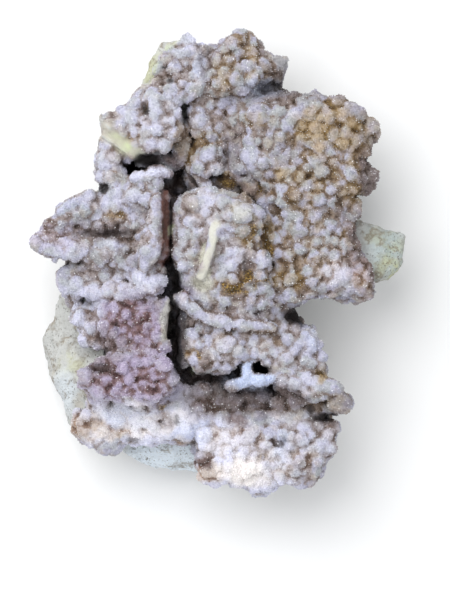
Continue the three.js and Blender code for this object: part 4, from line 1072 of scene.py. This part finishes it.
class CLUSTER_OT_crust(bpy.types.Operator):
    """Build the quartz crust"""
    bl_idname = "cluster.crust"
    bl_label = "Quartz crust"

    def execute(self, context):
        druse = context.scene.cluster_druse
        random = DRAWS["druse"] = np.random.default_rng(druse.seed)
        crust = self.ground(druse)
        tree = ray_tree(crust.data)
        large = self.large_lumps(tree, random)
        small = self.small_lumps(crust, large, druse, random)
        ribs = [self.rib(tree, *rib) for rib in RIBS]
        self.add_lumps(crust, large + small, ribs, random)
        apply_modifier(crust, "REMESH", mode="VOXEL", voxel_size=druse.voxel)
        apply_modifier(crust, "SMOOTH", iterations=2, factor=0.5)
        self.pull_about(crust.data, druse)
        faces = len(crust.data.polygons) * 2
        apply_modifier(crust, "DECIMATE", ratio=druse.face_count / faces, use_collapse_triangulate=True)
        self.describe(crust.data, large + small, random)
        self.roughen(crust.data, druse, random)
        finish_piece(crust, "quartz_crust", crust_material(druse), smooth=True)
        return {"FINISHED"}

    def ground(self, druse):
        """The surface that the lumps stand on: the crust's plates, softened and drawn in."""
        obj = copy_of_node("quartz_crust", "crust")
        apply_modifier(obj, "REMESH", mode="VOXEL", voxel_size=GROUND_VOXEL * MM)
        apply_modifier(obj, "SMOOTH", iterations=4, factor=0.5)
        mesh = obj.data
        places, normals = vertices_of(mesh), normals_of(mesh)
        heads = np.abs(noise_at(places, 9, 4.0)) * 3.2 - 0.9
        swell = heads + noise_at(places, 22, 8.0) * 0.7
        bare = spots_at(places, BARE_SPOTS)
        near_seam = smoothstep(*CRUST_SEAM_FROM, places[:, 2])
        places[:, 2] += bed_at(places) * near_seam
        places += normals * ((swell - 0.9) * (1 - bare) - 0.4 * bare)[:, None]
        soft = spots_at(places, SOFT_SPOTS)[:, None]
        places += (smoothed(mesh, places, 40) - places) * soft
        deep = spots_at(places, DEEP_SPOTS)
        places[:, 2] -= HOLLOW_DEPTH * deep * smoothstep(*SINKING_FROM, places[:, 2])
        move_vertices(mesh, places)
        apply_modifier(obj, "REMESH", mode="VOXEL", voxel_size=GROUND_VOXEL * MM)
        return obj

    def rib(self, tree, route, width, rise):
        """A rib with a flat top along a route, a little over the ground."""
        spots = np.array(along(route, 1.0))
        heights = [ground_under(tree, x, y)[0].z for x, y in spots]
        tops = np.convolve(np.pad(heights, 4, "edge"), np.full(9, 1 / 9), "valid") + rise
        ahead = np.gradient(spots, axis=0)
        side = np.stack([-ahead[:, 1], ahead[:, 0]], axis=1)
        side *= width / 2 / np.linalg.norm(side, axis=1)[:, None]
        left, right = spots + side, spots - side
        corners = [
            np.column_stack([edge, tops - depth])
            for edge, depth in ((left, 0), (right, 0), (right, RIB_DEPTH), (left, RIB_DEPTH))]
        places = np.stack(corners, axis=1).reshape(-1, 3)
        faces = [[0, 1, 2, 3], [len(places) - step for step in (1, 2, 3, 4)]]
        for start in range(0, len(places) - 4, 4):
            for corner in range(4):
                after = (corner + 1) % 4
                faces.append([start + after, start + corner, start + corner + 4, start + after + 4])
        return mesh_object("rib", places, np.array(faces))

    def large_lumps(self, tree, random):
        """The rolls along the rims and the largest lumps: place, radius, normal, buds and group of each."""
        lumps = []
        for number, roll in enumerate(ROLLS):
            lumps += self.roll(tree, number, *roll, random)
        for number, (x, y, radius) in enumerate(GREAT_LUMPS, len(ROLLS)):
            lumps.append(self.dropped(tree, x, y, radius, GREAT_PROUD, GREAT_BUDS, number))
        return [lump for lump in lumps if lump]

    def roll(self, tree, number, route, radius, height, random):
        """The lumps in a row that make a roll, each other one with a smaller lump at its side."""
        lumps = []
        places = along(route, radius * 0.5)
        buds = SMOOTH_BUDS if number < SMOOTH_ROLLS else ROUGH_BUDS
        for step, (x, y) in enumerate(places):
            wave = noise.noise(Vector((x / 3, y / 3, number)))
            end = min(step, len(places) - 1 - step)
            thick = radius * (1 + 0.4 * wave) * (0.8 if end == 0 else 1)
            if height:
                place = np.array((x, y, height + 1.4 * wave))
                lumps.append((place, thick, UP, buds, number))
                lumps += self.column(place, radius, thick, number, random)
            else:
                lumps.append(self.dropped(tree, x, y, thick, 0.1, SMOOTH_BUDS, number))
                place = lumps[-1][0] if lumps[-1] else None
            if place is not None and step % 2:
                side = random.normal(0, 1, 3) * (0.6, 0.6, 0.3)
                size = thick * random.uniform(0.45, 0.75)
                lumps.append((place + side * radius * 0.7, size, UP, SMOOTH_BUDS, number))
        return lumps

    def column(self, place, radius, thick, number, random):
        """The lumps that carry a place on a roll."""
        lumps = []
        for drop in np.arange(radius, ROLL_FOOT + 0.1, radius):
            turn = random.uniform(0, 2 * math.pi)
            side = np.array((math.cos(turn), math.sin(turn), 0.3))
            size = thick * random.uniform(0.9, 1.1)
            lumps.append((place - (0, 0, drop), size, side, COLUMN_BUDS, number))
        return lumps

    def dropped(self, tree, x, y, radius, proud, buds, group):
        """A lump that is let down onto the ground from above, or None where there is no ground."""
        hit, normal = ground_under(tree, x, y)
        if hit is None:
            return None
        normal = np.array(normal)
        return np.array(hit) + normal * radius * proud, radius, normal, buds, group

    def small_lumps(self, ground, large, druse, random):
        """Lumps of all sizes, as close as they come, between the large ones."""
        points, normals = sample_surface(ground.data, LUMP_TRIES, random)
        facing = (normals[:, 2] > -0.45) & (points[:, 2] > LUMP_FOOT + bed_at(points))
        facing &= spots_at(points, BARE_SPOTS) < 0.5
        facing &= (spots_at(points, DEEP_SPOTS) < 0.5) | (points[:, 2] < HOLLOW_FLOOR)
        points, normals = points[facing], normals[facing]
        warp = warp_at(points)
        coarse = spots_at(points, COARSE_SPOTS, warp) * 0.3 - spots_at(points, FINE_SPOTS, warp) * 0.25
        share = np.clip(random.beta(1.5, 2.2, len(points)) + coarse, 0, 1)
        radii = (druse.lump_small + (druse.lump_large - druse.lump_small) * share) / MM
        kept = pack_lumps(points, radii, druse.crowding, [(lump[0], lump[1]) for lump in large])
        points, normals, radii = points[kept], normals[kept], radii[kept]
        clump = noise_at(points, 7, 12.0)
        steep = np.clip(1 - normals[:, 2], 0, 1)
        proud = druse.proud + clump * 0.3 - steep * 0.65 + random.normal(0, 0.12, len(points))
        level = (LEVEL_RADIUS - radii) * 0.6 * (1 - steep)
        centres = points + normals * (radii * proud + level)[:, None]
        groups = np.arange(len(points)) + len(ROLLS) + len(GREAT_LUMPS)
        return list(zip(centres, radii, normals, [SMALL_BUDS] * len(points), groups))

    def add_lumps(self, ground, lumps, ribs, random):
        """Joins ribs and lumps to the ground, each lump with its buds."""
        centres, radii, normals, buds, _ = columns_of(lumps)
        parts = [self.balls(centres, radii * BALL_SHARE, LUMP_FACETS, random)]
        for turn in range(buds.max()):
            has = buds > turn
            lean = unit(normals[has] * 0.8 + random.normal(0, 0.75, (has.sum(), 3)))
            away = radii[has] * random.uniform(0.5, 0.85, has.sum())
            size = radii[has] * random.uniform(0.35, 0.6, has.sum())
            parts.append(self.balls(centres[has] + lean * away[:, None], size, BUD_FACETS, random))
        join_into(ground, parts + ribs)

    def balls(self, centres, radii, subdivisions, random):
        """One mesh of balls, each of them stretched a little."""
        ball, faces = unit_ball(subdivisions)
        stretch = random.uniform(0.86, 1.16, (len(centres), 1, 3))
        places = centres[:, None, :] + radii[:, None, None] * ball[None] * stretch
        offsets = (np.arange(len(centres)) * len(ball))[:, None, None]
        return mesh_object("lumps", places.reshape(-1, 3), (faces[None] + offsets).reshape(-1, 3))

    def pull_about(self, mesh, druse):
        """Pulls the lumps out of round, apart from the bare seams and the crust's foot."""
        places, normals = vertices_of(mesh), normals_of(mesh)
        free = smoothstep(*CRUST_RELIEF_FROM, places[:, 2]) * (1 - spots_at(places, BARE_SPOTS))
        pulled = wandered(places, 3.2, druse.wander / MM)
        pulled = wandered(pulled, 1.6, druse.wander / MM * 0.35)
        knobs = noise_layers(places, KNOBS, np.abs) - 0.32
        knobs *= 1 - spots_at(places, ROLL_SPOTS) * smoothstep(0, 0.5, normals[:, 2]) * 0.85
        pulled += normals * (knobs * druse.knob / MM)[:, None]
        move_vertices(mesh, places + (pulled - places) * free[:, None])

    def roughen(self, mesh, druse, random):
        """Gives the lumps their grain."""
        places, normals = vertices_of(mesh), normals_of(mesh)
        height = noise_at(places, 1.1, 1.5) * 1.2 + random.normal(0, 0.5, len(places))
        places += normals * (height * druse.grain / MM)[:, None]
        places += random.normal(0, 0.35 * druse.grain / MM, places.shape)
        move_vertices(mesh, places)

    def lumps_at(self, places, lumps):
        """The group of the lump at each place, and how close the next group and the lump's tip are."""
        centres, radii, normals, _, groups = columns_of(lumps)
        tree = tree_of(centres)
        near = np.array([[found[1] for found in tree.find_n(place, NEAR_LUMPS)] for place in places])
        away = places[:, None] - centres[near]
        far = np.linalg.norm(away, axis=2) - radii[near]
        rows, best = np.arange(len(places)), far.argmin(axis=1)
        own = near[rows, best]
        tip = (away[rows, best] * normals[own]).sum(axis=1) / radii[own]
        others = np.where(groups[near] == groups[own][:, None], NONE_NEAR, far).min(axis=1)
        return groups[own], smoothstep(0.8, 0.1, others - far.min(axis=1)), smoothstep(-0.1, 1.05, tip)

    def describe(self, mesh, lumps, random):
        """Keeps what the material needs to know of each vertex."""
        places = vertices_of(mesh)
        own, seam, tip = self.lumps_at(wandered(places, 1.8, 0.25), lumps)
        tones = random.random(own.max() + 1)
        large = len(ROLLS) + len(GREAT_LUMPS)
        tones[:large] = 0.6 + tones[:large] * 0.4
        bare = spots_at(places, BARE_SPOTS)
        store(mesh, "bare", bare)
        store(mesh, "seam", seam * (1 - bare))
        store(mesh, "tip", smoothed(mesh, tip, 1))
        store(mesh, "crown", smoothstep(-1.6, 1.8, relief_of(mesh, CROWN_ROUNDS)))
        store(mesh, "swell", smoothstep(-1.7, 1.9, relief_of(mesh, SWELL_ROUNDS)))
        store(mesh, "crease", smoothstep(1.1, 2.6, -relief_of(mesh, CREASE_ROUNDS)))
        store(mesh, "tone", smoothed(mesh, tones[own], 3))
        store(mesh, "deep", spots_at(places, DEEP_SPOTS) * smoothstep(*DARKNESS_FROM, places[:, 2]))
        store(mesh, "open", openness_of(mesh))
        warp = warp_at(places)
        up = smoothstep(-0.1, 0.45, smoothed(mesh, normals_of(mesh), 80)[:, 2])
        for name, spots in UPPER_SPOTS.items():
            store(mesh, name, spots_at(places, spots, warp) * up)
        store_spots(mesh, places, warp, QUARTZ_SPOTS)


class CLUSTER_OT_sugar(bpy.types.Operator):
    """Stand tiny crystals on the crust, in four quarters from the south to the north"""
    bl_idname = "cluster.sugar"
    bl_label = "Sugar coat"

    def execute(self, context):
        druse = context.scene.cluster_druse
        random = DRAWS["druse"]
        crust = bpy.data.objects["crust"]
        points, normals = sample_surface(crust.data, druse.sugar_count * SUGAR_TRIES, random)
        showing = (normals[:, 2] > -0.25) & (points[:, 2] > SUGAR_FOOT + bed_at(points))
        showing &= (spots_at(points, BARE_SPOTS) < 0.4) & (spots_at(points, DEEP_SPOTS) < 0.6)
        kept = np.flatnonzero(showing)[:druse.sugar_count * len(QUARTERS)]
        points, normals = points[kept], normals[kept]
        tree = tree_of(vertices_of(crust.data))
        nearest = np.array([tree.find(point)[1] for point in points])
        stored = stored_in(crust.data)
        quarters = np.array_split(np.argsort(points[:, 1], kind="stable"), len(QUARTERS))
        for name, quarter in zip(QUARTERS, quarters):
            obj = self.crystals(name, points[quarter], normals[quarter], druse, random)
            for label, values in stored.items():
                store(obj.data, label, np.repeat(values[nearest[quarter]], CRYSTAL_CORNERS))
            store(obj.data, "glint", np.repeat(random.random(len(quarter)), CRYSTAL_CORNERS))
            finish_piece(obj, None, sugar_material(name, druse), smooth=False)
        return {"FINISHED"}

    def crystals(self, name, points, normals, druse, random):
        """One mesh of pyramids on three-sided feet, each with its foot in the surface."""
        width = druse.sugar_size / MM * random.uniform(0.5, 1.35, len(points))
        height = width * random.uniform(0.55, 1.1, len(points))
        lean = unit(normals + random.normal(0, 0.35, normals.shape))
        side = unit(np.cross(lean, random.normal(0, 1, lean.shape)))
        cross = np.cross(lean, side)
        root = points - normals * (width * 0.2)[:, None]
        corners = [root + lean * height[:, None]]
        for turn in (0, 120, 240):
            angle = math.radians(turn)
            away = side * math.cos(angle) + cross * math.sin(angle)
            corners.append(root + away * (width * 0.6)[:, None])
        places = np.stack(corners, axis=1).reshape(-1, 3)
        faces = np.array([(0, 1, 2), (0, 2, 3), (0, 3, 1), (1, 3, 2)])
        first = (np.arange(len(points)) * CRYSTAL_CORNERS)[:, None, None]
        return mesh_object(name, places, (faces[None] + first).reshape(-1, 3))


class CLUSTER_OT_studio(bpy.types.Operator):
    """Build the floor, the lights and the camera"""
    bl_idname = "cluster.studio"
    bl_label = "Studio"

    def execute(self, context):
        studio = context.scene.cluster_studio
        self.floor(studio)
        self.lights(context, studio)
        self.camera(context, studio)
        return {"FINISHED"}

    def floor(self, studio):
        bpy.ops.mesh.primitive_plane_add(size=studio.floor_size, location=(0, 0, 0))
        floor = bpy.context.object
        floor.name = "floor"
        shader = Shader("floor")
        floor.data.materials.append(shader.finish(Base_Color=FLOOR_WHITE, Roughness=0.9))

    def lights(self, context, studio):
        world = bpy.data.worlds.new("studio")
        world.use_nodes = True
        background = next(n for n in world.node_tree.nodes if n.bl_idname == "ShaderNodeBackground")
        background.inputs["Color"].default_value = SKY_TINT
        background.inputs["Strength"].default_value = studio.sky
        context.scene.world = world
        for name, place, size, share in LAMPS:
            self.lamp(name, place, size, studio.key * share)

    def lamp(self, name, place, size, power):
        """A square lamp that faces the middle of the floor."""
        bpy.ops.object.light_add(type="AREA", location=place)
        lamp = bpy.context.object
        lamp.name = name
        lamp.data.size = size
        lamp.data.energy = power
        lamp.rotation_euler = (-Vector(place)).to_track_quat("-Z", "Y").to_euler()

    def camera(self, context, studio):
        """Straight above, with a lens that shows the upper faces of the cluster at their size."""
        bpy.ops.object.camera_add(location=(*CAMERA_PLACE, studio.camera_height))
        camera = bpy.context.object
        camera.name = "camera"
        camera.rotation_euler = (0, 0, 0)
        camera.data.sensor_width = SENSOR
        camera.data.lens = SENSOR / 2 * (studio.camera_height - UPPER_FACES * MM) / (HALF_VIEW * MM)
        camera.data.clip_start = 0.01
        camera.data.clip_end = 50
        context.scene.camera = camera
        context.scene.view_settings.view_transform = "Standard"


class CLUSTER_PT_panel(bpy.types.Panel):
    """Sizes, colours and building steps of the quartz cluster"""
    bl_idname = "CLUSTER_PT_panel"
    bl_label = "Quartz cluster"
    bl_space_type = "VIEW_3D"
    bl_region_type = "UI"
    bl_category = "Quartz"

    def draw(self, context):
        for settings, operators in (
                (context.scene.cluster_rock, ("cluster.rock",)),
                (context.scene.cluster_druse, ("cluster.crust", "cluster.sugar")),
                (context.scene.cluster_studio, ("cluster.studio",))):
            box = self.layout.box()
            for name in settings.__annotations__:
                box.prop(settings, name)
            for operator in operators:
                box.operator(operator)


CLASSES = (
    DruseProperties, RockProperties, StudioProperties,
    CLUSTER_OT_rock, CLUSTER_OT_crust, CLUSTER_OT_sugar, CLUSTER_OT_studio, CLUSTER_PT_panel,
)


def register():
    for cls in CLASSES:
        bpy.utils.register_class(cls)
    bpy.types.Scene.cluster_druse = bpy.props.PointerProperty(type=DruseProperties)
    bpy.types.Scene.cluster_rock = bpy.props.PointerProperty(type=RockProperties)
    bpy.types.Scene.cluster_studio = bpy.props.PointerProperty(type=StudioProperties)


def unregister():
    del bpy.types.Scene.cluster_studio
    del bpy.types.Scene.cluster_rock
    del bpy.types.Scene.cluster_druse
    for cls in reversed(CLASSES):
        bpy.utils.unregister_class(cls)


def main():
    register()
    bpy.ops.cluster.rock()
    bpy.ops.cluster.crust()
    bpy.ops.cluster.sugar()
    bpy.ops.cluster.studio()


if __name__ == "__main__":
    main()
